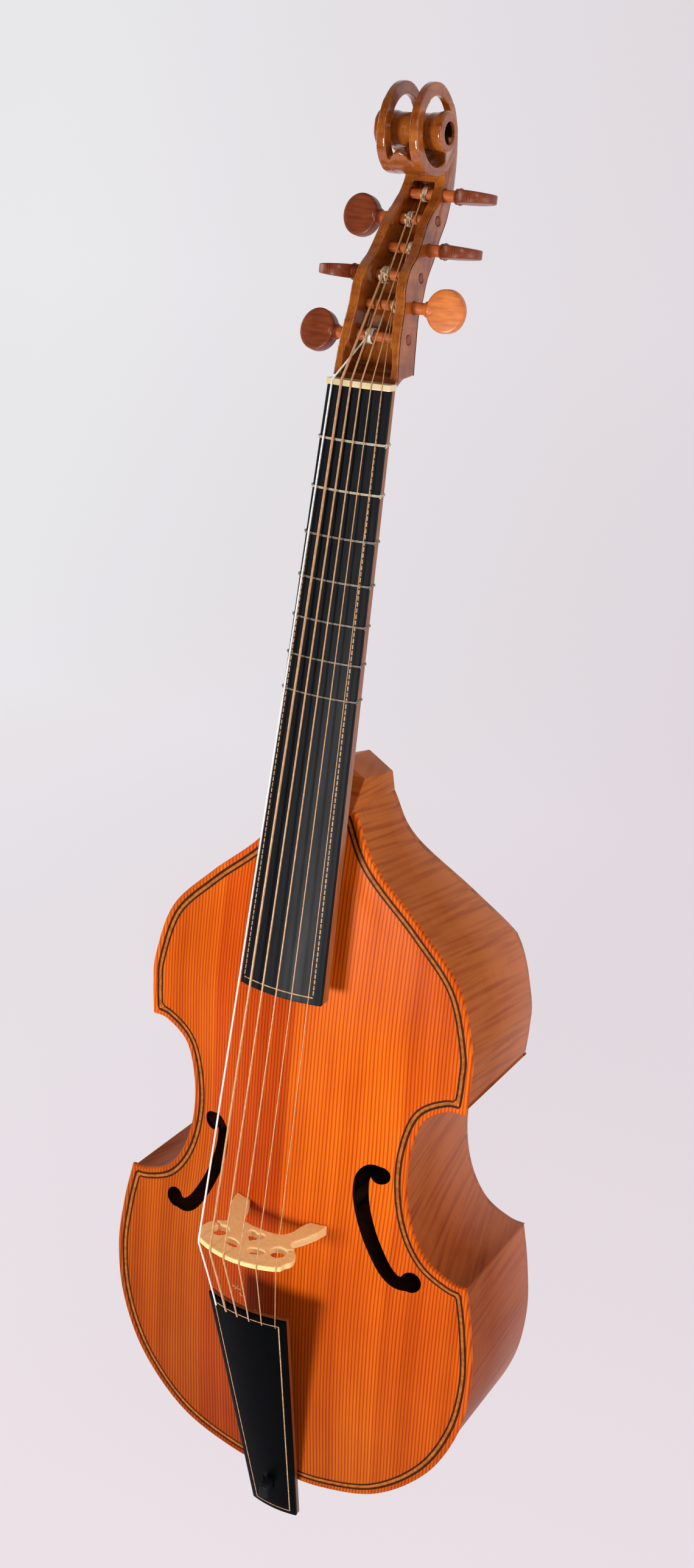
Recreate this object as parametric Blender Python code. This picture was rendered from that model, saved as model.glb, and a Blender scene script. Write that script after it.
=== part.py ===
"""Six-string bass viola da gamba, made as an assembly of separate pieces.

+Z runs up the neck, -Y points out of the soundboard and +X to the treble side.
The origin lies on the flat back, straight behind the bridge. Lengths below are in
millimetres and are turned into metres when an object is made.
"""

import math

import bmesh
import bpy
from mathutils import Vector

MM = 0.001
GAP = 0.3

# Body. The outline is given for the treble half as (x, z), from the neck down to the end button.
UPPER_BOUT = [(32, 362), (52, 323), (97, 281), (133, 241.5), (148.6, 193), (150.1, 165), (148.5, 137)]
WAIST = [(148.5, 137), (133, 135), (113, 119), (103.8, 85), (104, 50), (112.3, 18),
         (127.9, -5.3), (149.5, -15.9), (164.8, -17)]
LOWER_BOUT = [(164.8, -17), (172.9, -57), (177.5, -105), (170, -158), (145, -210),
              (100, -252), (45, -270.5), (0, -273)]
SPLINE_STEPS = 3
OVERHANG = 2.5
RIB_THICKNESS = 2.0
TOP_Y = -122.0
TOP_THICKNESS = 4.0
BACK_THICKNESS = 4.0
BACK_BEND = [(-280, 0), (244.7, 0), (332, -46), (362, -51.5)]
SLOPED_BACK_THICKNESS = 4.6
ARCH_HEIGHT = [(-273, 0), (-240, 4), (-160, 15), (-60, 22), (20, 23), (110, 21), (210, 17), (300, 9), (362, 4)]
ARCH_WIDTH = [(-273, 60), (-200, 150), (-100, 172), (-17, 145), (60, 112), (137, 128), (200, 148),
              (300, 85), (362, 45)]
EDGE_FLUTE = 30.0
FACET_CLEARANCE = 2.0
SOUNDBOARD_COLUMNS = 11

# Inside the body: linings as (thickness, depth), blocks and braces.
LINING = (3.0, 8.0)
CORNER_BLOCK_REACH = {"upper": (3, 5), "lower": (5, 2)}
NECK_BLOCK_HALF_WIDTH = 26.5
NECK_BLOCK_FOOT_Z = 300.0
END_BLOCK_HALF_WIDTH = 26.0
END_BLOCK_TOP_Z = -246.0
BASS_BAR_X = -27.0
BASS_BAR_HALF_WIDTH = 3.5
BASS_BAR_DEPTH = 11.0
BASS_BAR_TOP_Z = 210.0
BASS_BAR_STEPS = 15
BASS_BAR_STEP = 26.0
POST_PLACE = (30.0, -12.0)
POST_RADIUS = 5.0
POST_PLATE = [(-96, -44), (96, -44), (96, 46), (-96, 46)]
POST_PLATE_THICKNESS = 5.0
BEND_BRACE = [(-122, 228), (122, 228), (122, 240), (-122, 240)]
BEND_BRACE_DEPTH = 9.0

# Strings, from the bass side to the treble side.
STRING_DIAMETERS = [1.5, 2.0, 1.5, 1.2, 0.85, 0.65]
NUT_Z = 681.4
NUT_LENGTH = 4.6
NUT_HALF_WIDTH = 26.8
NUT_HALF_SPACING = 20.8
BRIDGE_HALF_SPACING = 36.6
TAIL_HALF_SPACING = 28.7
BRIDGE_CREST_Y = -218.5
BRIDGE_CREST_DROP = 8.2
CREST_HALF_WIDTH = 35.0
STRING_RISE_AT_NUT = 2.5
STRING_SEAT_LENGTH = 1.5
NUT_FALL = 0.18
NUT_SEAT_CLEARANCE = 1.0
NUT_ROUNDING = 0.95

# Fingerboard.
BOARD_END_Z = 216.0
BOARD_HALF_WIDTHS = (26.45, 37.0)
BOARD_EDGE_Y = (-106.0, -165.7)
BOARD_THICKNESSES = (8.0, 12.5)
BOARD_RADIUS = 118.0
VENEER_THICKNESS = 3.2
CORE_INSET = 0.3
BOARD_STATIONS = (216.0, 300, 380, 450, 530, 610, 681.4)
FRET_COUNT = 7
FRET_GUTS = [0.95, 0.9, 0.85, 0.8, 0.75, 0.7, 0.65]

# Neck and head.
HEEL_Z = 362.0
HEEL_HALF_WIDTHS = (29.5, 28.0)
HEEL_BACK_Y = -51.5
HEEL_SHOULDERS = [(-103, 385), (-55, 379)]
HEEL_RIDGE = [(-44, 388), (-89, 391)]
NECK_INSET = 5.0
NECK_DEPTHS = (20.0, 28.0)
NECK_ROUNDNESS = 1.6
NECK_STATIONS = (385, 400, 440, 520, 600, 670)
NECK_FLARE = [(679, 22.5, 21, 1.7), (685, 24.5, 24, 2.2), (689.7, 26, 27, 3)]
CHEEK_HALF_WIDTH = 26.5
CHEEK_TAPER = 0.0724
CHEEK_BASE_Z = 690.0
CHEEK_TIP_HALF_WIDTH = 16.2
CHEEK_FRONT = [(-97.8, 690.3), (-96.2, 706), (-93.3, 721), (-88.8, 737), (-87, 753), (-80.2, 765.3),
               (-69.9, 774.1), (-60.5, 787), (-54, 797), (-44.6, 806), (-33.4, 817), (-28, 826), (-27, 834)]
CHEEK_BACK = [(-11, 866), (-8.5, 850), (-8, 836), (-11, 820), (-14.4, 813), (-22.1, 798.2),
              (-32.3, 785.5), (-39.4, 773.4), (-51.2, 757.9), (-57.6, 743.8), (-64.1, 731.9),
              (-66.9, 715.7), (-69.3, 700.4), (-70.4, 690.6)]
CHEEK_WALL = 7.6
CAVITY_FRONT = [(-107, 694), (-101, 722), (-95, 756), (-77, 776), (-63, 796), (-45, 815), (-39, 826)]
CAVITY_BACK = [(-15, 826), (-18.5, 812), (-26.5, 797), (-43.5, 771.5), (-54.5, 756), (-67.5, 730),
               (-72.5, 700), (-73, 694)]
SCROLL_CENTRE = (-42.8, 862.2)
RIM_RADII = [(0, 32.5), (22, 31), (55, 30), (90, 31.5), (120, 32.5), (180, 33.5), (210, 35), (235, 35),
             (270, 32.5), (320, 32), (360, 32.5)]
RIM_HOLE_CENTRE = (-42.7, 860.4)
RIM_HOLE_RADIUS = 24.2
RIM_INNER_X = 9.7
RIM_OUTER_X = 16.2
RIM_FLARE = 0.045
DRUM_CENTRE = (-47.2, 860.5)
DRUM_PROFILE = [(15, 12.7), (17, 13.8), (23.5, 14.4), (26.5, 14.0), (27.5, 12.4)]
LUG = [(-44, 850, 24), (-36, 857, 24), (-14, 851, 16), (-17, 842, 16), (-26, 836.5, 16)]
LUG_INNER_X = 10.1
THROAT_ANGLES = (-150, -38)
THROAT_STEPS = 14
THROAT_WALL = 5.5
THROAT_HALF_WIDTH = 10.0
THROAT_OVERLAP = 0.4
THROUGH_HEAD = 30.0

# Pegs: name, side of the head (1 treble, -1 bass), axis (y, z), string index, x of the winding,
# number of turns and the angle that the flat head is turned to.
PEGS = [
    ("peg_bass_1", -1, (-80.3, 716.3), 0, -6.6, 4, 74),
    ("peg_bass_2", -1, (-61.7, 759.1), 1, -7.4, 3, -4),
    ("peg_bass_3", -1, (-36.5, 798.8), 2, -3.4, 3, 80),
    ("peg_treble_3", 1, (-26.0, 816.8), 3, 2.0, 3, -4),
    ("peg_treble_2", 1, (-49.0, 778.5), 4, 5.5, 4, -4),
    ("peg_treble_1", 1, (-72.0, 738.6), 5, 8.0, 5, 88),
]
PEG_SHAFT_RADII = (3.5, 4.4)
PEG_BARE_SHAFT = 9.5
PEG_END_INSET = 0.4
PEG_COLLAR = [(0.0, 0.0), (0.4, 1.2), (1.4, 1.2), (2.0, 0.7), (3.2, 1.5), (8.2, 0.0)]
PEG_COLLAR_HEIGHT = 3.2
PEG_HEAD = (14.7, 15.6, 5.2)
PEG_HEAD_THINNING = 0.25
PEG_HEAD_FULLNESS = 0.6
WINDING_CLEARANCE = 0.35
FRET_CLEARANCE = 0.35

# Bridge: treble half of the outline as (x, height above the soundboard's rim).
BRIDGE_LEG_INNER = [(26, 29), (23.5, 40), (18, 47.5), (9, 50), (0, 50.3)]
BRIDGE_SIDE = [(41.5, 30), (36, 43), (31.5, 51), (31, 56), (36, 58.5), (41.2, 64),
               (43.4, 70), (43.2, 75.5), (40.6, 79.4), (39.4, 84.4)]
BRIDGE_FOOT = (29.5, 37, 44)
BRIDGE_CREST_X = [40 * i / 4.6 for i in range(-4, 5)]
BRIDGE_EYE = (27.5, 69.0, 7.0)
BRIDGE_HEART = (0.0, 60.5, 6.8)
BRIDGE_SLOTS = (11.5, 77.5, 7.5, 4.2)
BRIDGE_FOOT_CLEARANCE = 0.4
BRIDGE_SEAT_CLEARANCE = 1.0
BRIDGE_HEIGHT = 96.0
BRIDGE_TAIL_FACE_Z = -1.8
BRIDGE_THICKNESSES = (10.0, 4.0)

# Tailpiece and the bar that it hooks onto.
TAIL_TOP_Z = -60.9
TAIL_END_Z = -316.7
TAIL_STATIONS = (-60.9, -145, -230, -316.7)
TAIL_CORE_INSET = 0.2
TAIL_HALF_WIDTHS = (37.3, 22.6)
TAIL_EDGE_Y = (-189.0, -117.3)
TAIL_CROWNS = (6.5, 3.0)
TAIL_VENEER = 2.2
TAIL_CORE = 4.6
TAIL_STRING_Z = -68.5
HOOK_PROFILE = [(-59, -270.9), (-115, -270.9), (-116.5, -274.2), (-124, -277.2), (-138, -277.6),
                (-141, -280), (-141, -290), (-136.6, -290), (-135.6, -284), (-115, -283),
                (-63, -279), (-59, -276)]
HOOK_HALF_WIDTH = 4.0
HOOK_SLOT = (5.5, -284.4, -273.5)
SLOT_CUT_Y = (-162.0, -92.0)

# Sound hole on the treble side: middle line and half widths of its stem, and its two round ends.
HOLE_STEM = [(80.5, 62.5, 6.4), (73, 64.5, 5.2), (67.6, 57, 5.8), (67.2, 44, 6.4), (70.3, 28, 6.4),
             (77, 9, 6.3), (86, -9, 6.3), (95.5, -23.6, 6.2), (105, -30.6, 6.1), (114.5, -29.6, 7.0)]
HOLE_EYES = [(81.6, 60.6, 7.8), (116.4, -28.0, 9.0)]
BASS_HOLE_DROP = 4.0
HOLE_CUT_Y = (-162.0, -110.0)


# ---------- arithmetic ----------

def spline(points, steps, after=None):
    """A smooth curve through the points (Catmull-Rom), with steps stretches between neighbours."""
    first = [2 * a - b for a, b in zip(points[0], points[1])]
    last = after or [2 * a - b for a, b in zip(points[-1], points[-2])]
    run = [first, *points, last]
    found = []
    for before, start, end, beyond in zip(run, run[1:], run[2:], run[3:]):
        for step in range(steps):
            t = step / steps
            found.append(tuple(
                0.5 * (2 * b + (c - a) * t + (2 * a - 5 * b + 4 * c - d) * t * t
                       + (3 * b - a - 3 * c + d) * t ** 3)
                for a, b, c, d in zip(before, start, end, beyond)))
    return found + [tuple(points[-1])]


def between(table, key):
    """Linear interpolation in a table of (key, value), held constant beyond its ends."""
    table = sorted(table)
    if key <= table[0][0]:
        return table[0][1]
    for (k0, v0), (k1, v1) in zip(table, table[1:]):
        if key <= k1:
            return v0 + (v1 - v0) * (key - k0) / (k1 - k0)
    return table[-1][1]


def inset(outline, distance):
    """The open outline moved towards the body's middle by distance, with mitred corners."""
    moved = []
    for i, point in enumerate(outline):
        here = Vector(point)
        legs = []
        if i:
            legs.append((here - Vector(outline[i - 1])).normalized())
        if i < len(outline) - 1:
            legs.append((Vector(outline[i + 1]) - here).normalized())
        normals = [Vector((leg.y, -leg.x)) for leg in legs]
        middle = sum(normals, Vector((0, 0))).normalized()
        moved.append(here + middle * (distance / middle.dot(normals[0])))
    return moved


def distance_to_outline(x, z):
    """Shortest way from (x, z) to the body's outline."""
    here = Vector((abs(x), z))
    best = 1e9
    for a, b in zip(OUTLINE, OUTLINE[1:]):
        a, leg = Vector(a), Vector(b) - Vector(a)
        t = max(0.0, min(1.0, (here - a).dot(leg) / leg.length_squared))
        best = min(best, (here - a - leg * t).length)
    return best


def smooth_step(t):
    t = max(0.0, min(1.0, t))
    return t * t * (3 - 2 * t)


def arch_y(x, z):
    """Where the front of the soundboard lies."""
    across = 0.5 + 0.5 * math.cos(math.pi * min(1.0, abs(x) / between(ARCH_WIDTH, z)))
    flute = smooth_step(distance_to_outline(x, z) / EDGE_FLUTE)
    return TOP_Y - between(ARCH_HEIGHT, z) * across * flute


def back_inner_y(z):
    """Inside face of the back."""
    bend = BACK_BEND[1][0]
    return between(BACK_BEND, z) - (BACK_THICKNESS if z <= bend else SLOPED_BACK_THICKNESS)


def along_board(pair, z):
    """A value given at the nut and at the fingerboard's lower end, at height z."""
    return pair[0] + (pair[1] - pair[0]) * (NUT_Z - z) / (NUT_Z - BOARD_END_Z)


def board_y(x, z):
    """Playing surface of the fingerboard."""
    half = along_board(BOARD_HALF_WIDTHS, z)
    return along_board(BOARD_EDGE_Y, z) - (half * half - x * x) / (2 * BOARD_RADIUS)


def board_under_y(z):
    return along_board(BOARD_EDGE_Y, z) + along_board(BOARD_THICKNESSES, z)


def along_tail(pair, z):
    return pair[0] + (pair[1] - pair[0]) * (TAIL_TOP_Z - z) / (TAIL_TOP_Z - TAIL_END_Z)


def tail_y(x, z):
    """Front of the tailpiece."""
    half = along_tail(TAIL_HALF_WIDTHS, z)
    return along_tail(TAIL_EDGE_Y, z) - along_tail(TAIL_CROWNS, z) * (1 - (x / half) ** 2)


def cheek_x(z):
    """Half width of the pegbox."""
    return max(CHEEK_TIP_HALF_WIDTH, CHEEK_HALF_WIDTH - CHEEK_TAPER * (z - CHEEK_BASE_Z))


def string_places(i):
    """Where string i passes the nut, the bridge and the tailpiece: three points."""
    share = (2 * i - 5) / 5
    nut_x, bridge_x, tail_x = (share * w for w in (NUT_HALF_SPACING, BRIDGE_HALF_SPACING, TAIL_HALF_SPACING))
    rise = STRING_DIAMETERS[i] / 2 + GAP
    crest = BRIDGE_CREST_Y + BRIDGE_CREST_DROP * (bridge_x / CREST_HALF_WIDTH) ** 2
    return (Vector((nut_x, board_y(nut_x, NUT_Z) - STRING_RISE_AT_NUT, NUT_Z)),
            Vector((bridge_x, crest, 0)),
            Vector((tail_x, tail_y(tail_x, TAIL_STRING_Z) - rise, TAIL_STRING_Z)))


OUTLINE = (spline(UPPER_BOUT, SPLINE_STEPS)[:-1] + spline(WAIST, SPLINE_STEPS)[:-1]
           + spline(LOWER_BOUT, SPLINE_STEPS, after=(-45, -270.5)))
UPPER_CORNER = SPLINE_STEPS * (len(UPPER_BOUT) - 1)
LOWER_CORNER = UPPER_CORNER + SPLINE_STEPS * (len(WAIST) - 1)
BOTTOM = len(OUTLINE) - 1


# ---------- making objects ----------

def make_material(name, color, roughness, metallic=0.0):
    material = bpy.data.materials.new(name)
    material.use_nodes = True
    shader = material.node_tree.nodes["Principled BSDF"]
    shader.inputs["Base Color"].default_value = (*color, 1)
    shader.inputs["Roughness"].default_value = roughness
    shader.inputs["Metallic"].default_value = metallic
    return material


def add_object(name, bm, material, origin=(0, 0, 0), smooth=None):
    """The bmesh, in millimetres, as an object in metres whose origin is at the given point."""
    origin = Vector(origin)
    bmesh.ops.recalc_face_normals(bm, faces=bm.faces)
    for vertex in bm.verts:
        vertex.co = (vertex.co - origin) * MM
    mesh = bpy.data.meshes.new(name)
    bm.to_mesh(mesh)
    bm.free()
    if smooth is not None:
        mesh.shade_smooth()
        mesh.set_sharp_from_angle(angle=math.radians(smooth))
    obj = bpy.data.objects.new(name, mesh)
    obj.location = origin * MM
    bpy.context.collection.objects.link(obj)
    mesh.materials.append(material)
    return obj


def helper(obj):
    """Keeps a cutter or a guide out of the finished object."""
    obj.hide_render = True
    obj.display_type = "WIRE"
    return obj


def combine(obj, other, operation):
    modifier = obj.modifiers.new(other.name, "BOOLEAN")
    modifier.operation = operation
    modifier.object = helper(other)


def loft(rings, closed=False):
    """A solid through rings of the same number of points; closed joins the last ring to the first."""
    bm = bmesh.new()
    loops = [[bm.verts.new(p) for p in ring] for ring in rings]
    pairs = list(zip(loops, loops[1:])) + ([(loops[-1], loops[0])] if closed else [])
    for a, b in pairs:
        for i in range(len(a)):
            j = (i + 1) % len(a)
            bm.faces.new((a[i], a[j], b[j], b[i]))
    if not closed:
        bm.faces.new(loops[0])
        bm.faces.new(reversed(loops[-1]))
    return bm


def extrude_x(outline, low, high):
    """Prism of a (y, z) outline between two values of x."""
    return loft([[(x, y, z) for y, z in outline] for x in (low, high)])


def extrude_y(outline, low, high):
    """Prism of an (x, z) outline between two values of y."""
    return loft([[(x, y, z) for x, z in outline] for y in (low, high)])


def circle(centre, radius, sides, start=0.0, sweep=2 * math.pi):
    steps = sides if abs(sweep - 2 * math.pi) < 1e-9 else sides + 1
    return [(centre[0] + radius * math.cos(start + sweep * i / sides),
             centre[1] + radius * math.sin(start + sweep * i / sides)) for i in range(steps)]


def turned(profile, centre, sides):
    """A solid of revolution along X: profile holds (x, radius), centre is the axis's (y, z)."""
    return loft([[(x, y, z) for y, z in circle(centre, radius, sides)] for x, radius in profile])


def turned_ring(low, high, inner, outer, centre, sides):
    """A flat-sided ring round an axis along X."""
    corners = [(low, inner), (high, inner), (high, outer), (low, outer)]
    spokes = []
    for i in range(sides):
        a = 2 * math.pi * i / sides
        spokes.append([(x, centre[0] + r * math.cos(a), centre[1] + r * math.sin(a)) for x, r in corners])
    return loft(spokes, closed=True)


def add_tube(name, points, radius, material):
    """A cord as a curve with filled caps."""
    data = bpy.data.curves.new(name, "CURVE")
    data.dimensions = "3D"
    data.bevel_depth = radius * MM
    data.bevel_resolution = 2
    data.use_fill_caps = True
    run = data.splines.new("POLY")
    run.points.add(len(points) - 1)
    for spot, point in zip(run.points, points):
        spot.co = (*(Vector(point) * MM), 1)
    obj = bpy.data.objects.new(name, data)
    bpy.context.collection.objects.link(obj)
    data.materials.append(material)
    return obj


# ---------- the body ----------

def make_soundboard(material, dark):
    """Arched plate: rows follow the outline's points and columns divide each row."""
    columns = SOUNDBOARD_COLUMNS
    bm = bmesh.new()
    faces = []
    for back in (0, TOP_THICKNESS):
        grid = []
        for x_edge, z in OUTLINE[:-1]:
            row = []
            for c in range(columns):
                x = x_edge * math.sin(math.pi / 2 * (2 * c / (columns - 1) - 1))
                row.append(bm.verts.new((x, arch_y(x, z) + back, z)))
            grid.append(row)
        faces.append((grid, bm.verts.new((0, TOP_Y + back, OUTLINE[-1][1]))))
    for grid, tip in faces:
        for a, b in zip(grid, grid[1:]):
            for c in range(columns - 1):
                bm.faces.new((a[c], a[c + 1], b[c + 1], b[c]))
        for c in range(columns - 1):
            bm.faces.new((grid[-1][c], grid[-1][c + 1], tip))
    (front, front_tip), (rear, rear_tip) = faces
    rim_front = front[0] + [row[-1] for row in front[1:]] + [front_tip] + [row[0] for row in front[:0:-1]]
    rim_rear = rear[0] + [row[-1] for row in rear[1:]] + [rear_tip] + [row[0] for row in rear[:0:-1]]
    for i in range(len(rim_front)):
        j = (i + 1) % len(rim_front)
        bm.faces.new((rim_front[i], rim_front[j], rim_rear[j], rim_rear[i]))
    board = add_object("soundboard", bm, material, smooth=40)
    for side in (1, -1):
        for cutter in sound_hole_cutters(side, dark):
            combine(board, cutter, "DIFFERENCE")
    return board


def sound_hole_cutters(side, material):
    """The stem and the two round ends of one sound hole, as prisms through the top."""
    drop = BASS_HOLE_DROP if side < 0 else 0
    line = [(x, z - drop, half) for x, z, half in spline(HOLE_STEM, 2)]
    left, right = [], []
    for i, (x, z, half) in enumerate(line):
        a, b = line[max(0, i - 1)], line[min(len(line) - 1, i + 1)]
        way = Vector((b[0] - a[0], b[1] - a[1])).normalized()
        left.append((side * (x - way.y * half), z + way.x * half))
        right.append((side * (x + way.y * half), z - way.x * half))
    shapes = [left + right[::-1]]
    shapes += [circle((side * x, z - drop), r, 16) for x, z, r in HOLE_EYES]
    hand = "treble" if side > 0 else "bass"
    return [add_object(f"sound_hole_{hand}_{i}", extrude_y(shape, *HOLE_CUT_Y), material)
            for i, shape in enumerate(shapes)]


def rib_strip(first, last, outer, inner, front, back, side, end_gap=GAP):
    """A strip that follows the outline between two of its points; back is a function of z."""
    outside, inside = inset(OUTLINE, outer), inset(OUTLINE, inner)
    rings = []
    for i in range(first, last + 1):
        pair = []
        for line in (outside, inside):
            point = line[i].copy()
            if i in (first, last):
                near = line[i + 1] if i == first else line[i - 1]
                point += (near - point).normalized() * end_gap
            pair.append(point)
        (x0, z0), (x1, z1) = pair
        x0, x1 = side * max(x0, end_gap), side * max(x1, end_gap)
        rings.append([(x0, front, z0), (x1, front, z1), (x1, back(z1), z1), (x0, back(z0), z0)])
    return loft(rings)


def make_ribs(material):
    front = TOP_Y + TOP_THICKNESS + GAP
    stretches = {"upper": (0, UPPER_CORNER), "waist": (UPPER_CORNER, LOWER_CORNER),
                 "lower": (LOWER_CORNER, BOTTOM)}
    for place, (first, last) in stretches.items():
        for hand, side in (("treble", 1), ("bass", -1)):
            bm = rib_strip(first, last, OVERHANG, OVERHANG + RIB_THICKNESS, front,
                           lambda z: back_inner_y(z) - GAP, side)
            add_object(f"rib_{place}_{hand}", bm, material, smooth=30)


def make_linings(material):
    """Narrow strips that widen the gluing surface behind the soundboard's rim."""
    front = TOP_Y + TOP_THICKNESS + GAP
    inner = OVERHANG + RIB_THICKNESS + GAP
    thickness, depth = LINING
    stretches = {"upper": (3, UPPER_CORNER - 4), "waist": (UPPER_CORNER + 6, LOWER_CORNER - 6),
                 "lower": (LOWER_CORNER + 3, BOTTOM - 3)}
    for place, (first, last) in stretches.items():
        for hand, side in (("treble", 1), ("bass", -1)):
            bm = rib_strip(first, last, inner, inner + thickness, front, lambda z: front + depth, side)
            add_object(f"lining_{place}_{hand}", bm, material)


def make_corner_blocks(material):
    inside = inset(OUTLINE, OVERHANG + RIB_THICKNESS + GAP)
    for place, corner in (("upper", UPPER_CORNER), ("lower", LOWER_CORNER)):
        above, below = CORNER_BLOCK_REACH[place]
        for hand, side in (("treble", 1), ("bass", -1)):
            shape = [(side * x, z) for x, z in inside[corner - above:corner + below + 1]]
            bm = extrude_y(shape, TOP_Y + TOP_THICKNESS + GAP, -BACK_THICKNESS - GAP)
            add_object(f"corner_block_{place}_{hand}", bm, material)


def make_back(material):
    """The flat lower back and the upper back, which is bent forward towards the neck."""
    bend = BACK_BEND[1][0]
    outline = inset(OUTLINE, OVERHANG)
    half = [(x, z) for x, z in outline if z < bend - 2]
    edge = between([(z, x) for x, z in outline[:UPPER_CORNER]], bend)
    lower = [(edge, bend - GAP / 2)] + half
    shape = lower + [(-x, z) for x, z in reversed(lower[:-1])]
    add_object("back_lower", extrude_y(shape, -BACK_THICKNESS, 0), material, smooth=30)
    upper = [(x, z) for x, z in outline if z > bend + 2] + [(edge, bend + GAP / 2)]
    rings = []
    for x, z in upper:
        outer = between(BACK_BEND, z)
        inner = outer - SLOPED_BACK_THICKNESS
        rings.append([(-x, outer, z), (x, outer, z), (x, inner, z), (-x, inner, z)])
    add_object("back_upper", loft(rings), material, smooth=15)


def make_blocks(material):
    """The blocks that hold the neck and the hook bar, inside the body."""
    front = TOP_Y + TOP_THICKNESS + GAP
    rings = []
    half = NECK_BLOCK_HALF_WIDTH
    for z in (NECK_BLOCK_FOOT_Z, BACK_BEND[2][0], HEEL_Z - GAP):
        rear = back_inner_y(z) - 4 * GAP
        rings.append([(-half, front, z), (half, front, z), (half, rear, z), (-half, rear, z)])
    add_object("neck_block", loft(rings), material)
    low = inset(OUTLINE, OVERHANG + RIB_THICKNESS + GAP)[BOTTOM - 1].y + 1
    half, high = END_BLOCK_HALF_WIDTH, END_BLOCK_TOP_Z
    shape = [(-half, low), (half, low), (half, high), (-half, high)]
    add_object("end_block", extrude_y(shape, front, -BACK_THICKNESS - GAP), material)


def make_bracing(material):
    """Bass bar, sound post and its plate, and the bar that stiffens the bend of the back."""
    low, high = BASS_BAR_X - BASS_BAR_HALF_WIDTH, BASS_BAR_X + BASS_BAR_HALF_WIDTH
    rings = []
    for step in range(BASS_BAR_STEPS):
        z = BASS_BAR_TOP_Z - BASS_BAR_STEP * step
        glue = max(arch_y(high, z), arch_y(low, z)) + TOP_THICKNESS + FACET_CLEARANCE
        depth = BASS_BAR_DEPTH * math.sin(math.pi * (step + 1.5) / (BASS_BAR_STEPS + 2))
        rings.append([(low, glue, z), (high, glue, z), (high, glue + depth, z), (low, glue + depth, z)])
    add_object("bass_bar", loft(rings), material)
    inside = -BACK_THICKNESS - GAP
    plate_front = inside - POST_PLATE_THICKNESS
    add_object("sound_post_plate", extrude_y(POST_PLATE, plate_front, inside), material)
    post_x, post_z = POST_PLACE
    top = arch_y(post_x + POST_RADIUS, post_z) + TOP_THICKNESS + FACET_CLEARANCE
    post = extrude_y(circle(POST_PLACE, POST_RADIUS, 16), top, plate_front - GAP)
    add_object("sound_post", post, material, smooth=30)
    add_object("back_bend_brace", extrude_y(BEND_BRACE, inside - BEND_BRACE_DEPTH, inside), material)


# ---------- the neck and the head ----------

def neck_section(z, half, depth, power):
    """Flat under the fingerboard and rounded behind."""
    front = board_under_y(z) + GAP
    ring = [(-half, front, z), (half, front, z)]
    steps = 9
    for i in range(1, steps):
        a = math.pi * i / steps
        across = math.copysign(abs(math.cos(a)) ** (2 / power), math.cos(a))
        ring.append((half * across, front + 0.5 + depth * math.sin(a) ** (2 / power), z))
    return ring


def make_neck(material):
    """Neck with its gabled heel, which carries on the line of the ribs and the back."""
    bottom = HEEL_Z + GAP
    low, high = HEEL_HALF_WIDTHS
    points = [(side * low, y, bottom) for side in (1, -1) for y in (TOP_Y + 1, HEEL_BACK_Y)]
    points += [(side * high, y, z) for side in (1, -1) for y, z in HEEL_SHOULDERS]
    points += [(0, HEEL_BACK_Y, bottom)] + [(0, y, z) for y, z in HEEL_RIDGE]
    bm = bmesh.new()
    for point in points:
        bm.verts.new(point)
    bmesh.ops.convex_hull(bm, input=bm.verts)
    neck = add_object("neck", bm, material, smooth=30)
    rings = []
    for z in (bottom, *NECK_STATIONS):
        half = along_board(BOARD_HALF_WIDTHS, z) - NECK_INSET
        rings.append(neck_section(z, half, along_board(NECK_DEPTHS, z), NECK_ROUNDNESS))
    for z, half, depth, power in NECK_FLARE:
        rings.append(neck_section(z, half, depth, power))
    combine(neck, add_object("neck_shaft_guide", loft(rings), material), "UNION")
    return neck


def rim_point(degrees, depth=0.0):
    """A point of the scroll's outline, depth millimetres inside it, as (y, z)."""
    radius = between(RIM_RADII, degrees % 360) - depth
    angle = math.radians(degrees)
    return (SCROLL_CENTRE[0] + radius * math.cos(angle), SCROLL_CENTRE[1] + radius * math.sin(angle))


def rim_face_x(z):
    """Outer face of a rim, which flares towards the throat."""
    return RIM_OUTER_X - RIM_FLARE * (z - SCROLL_CENTRE[1])


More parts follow.
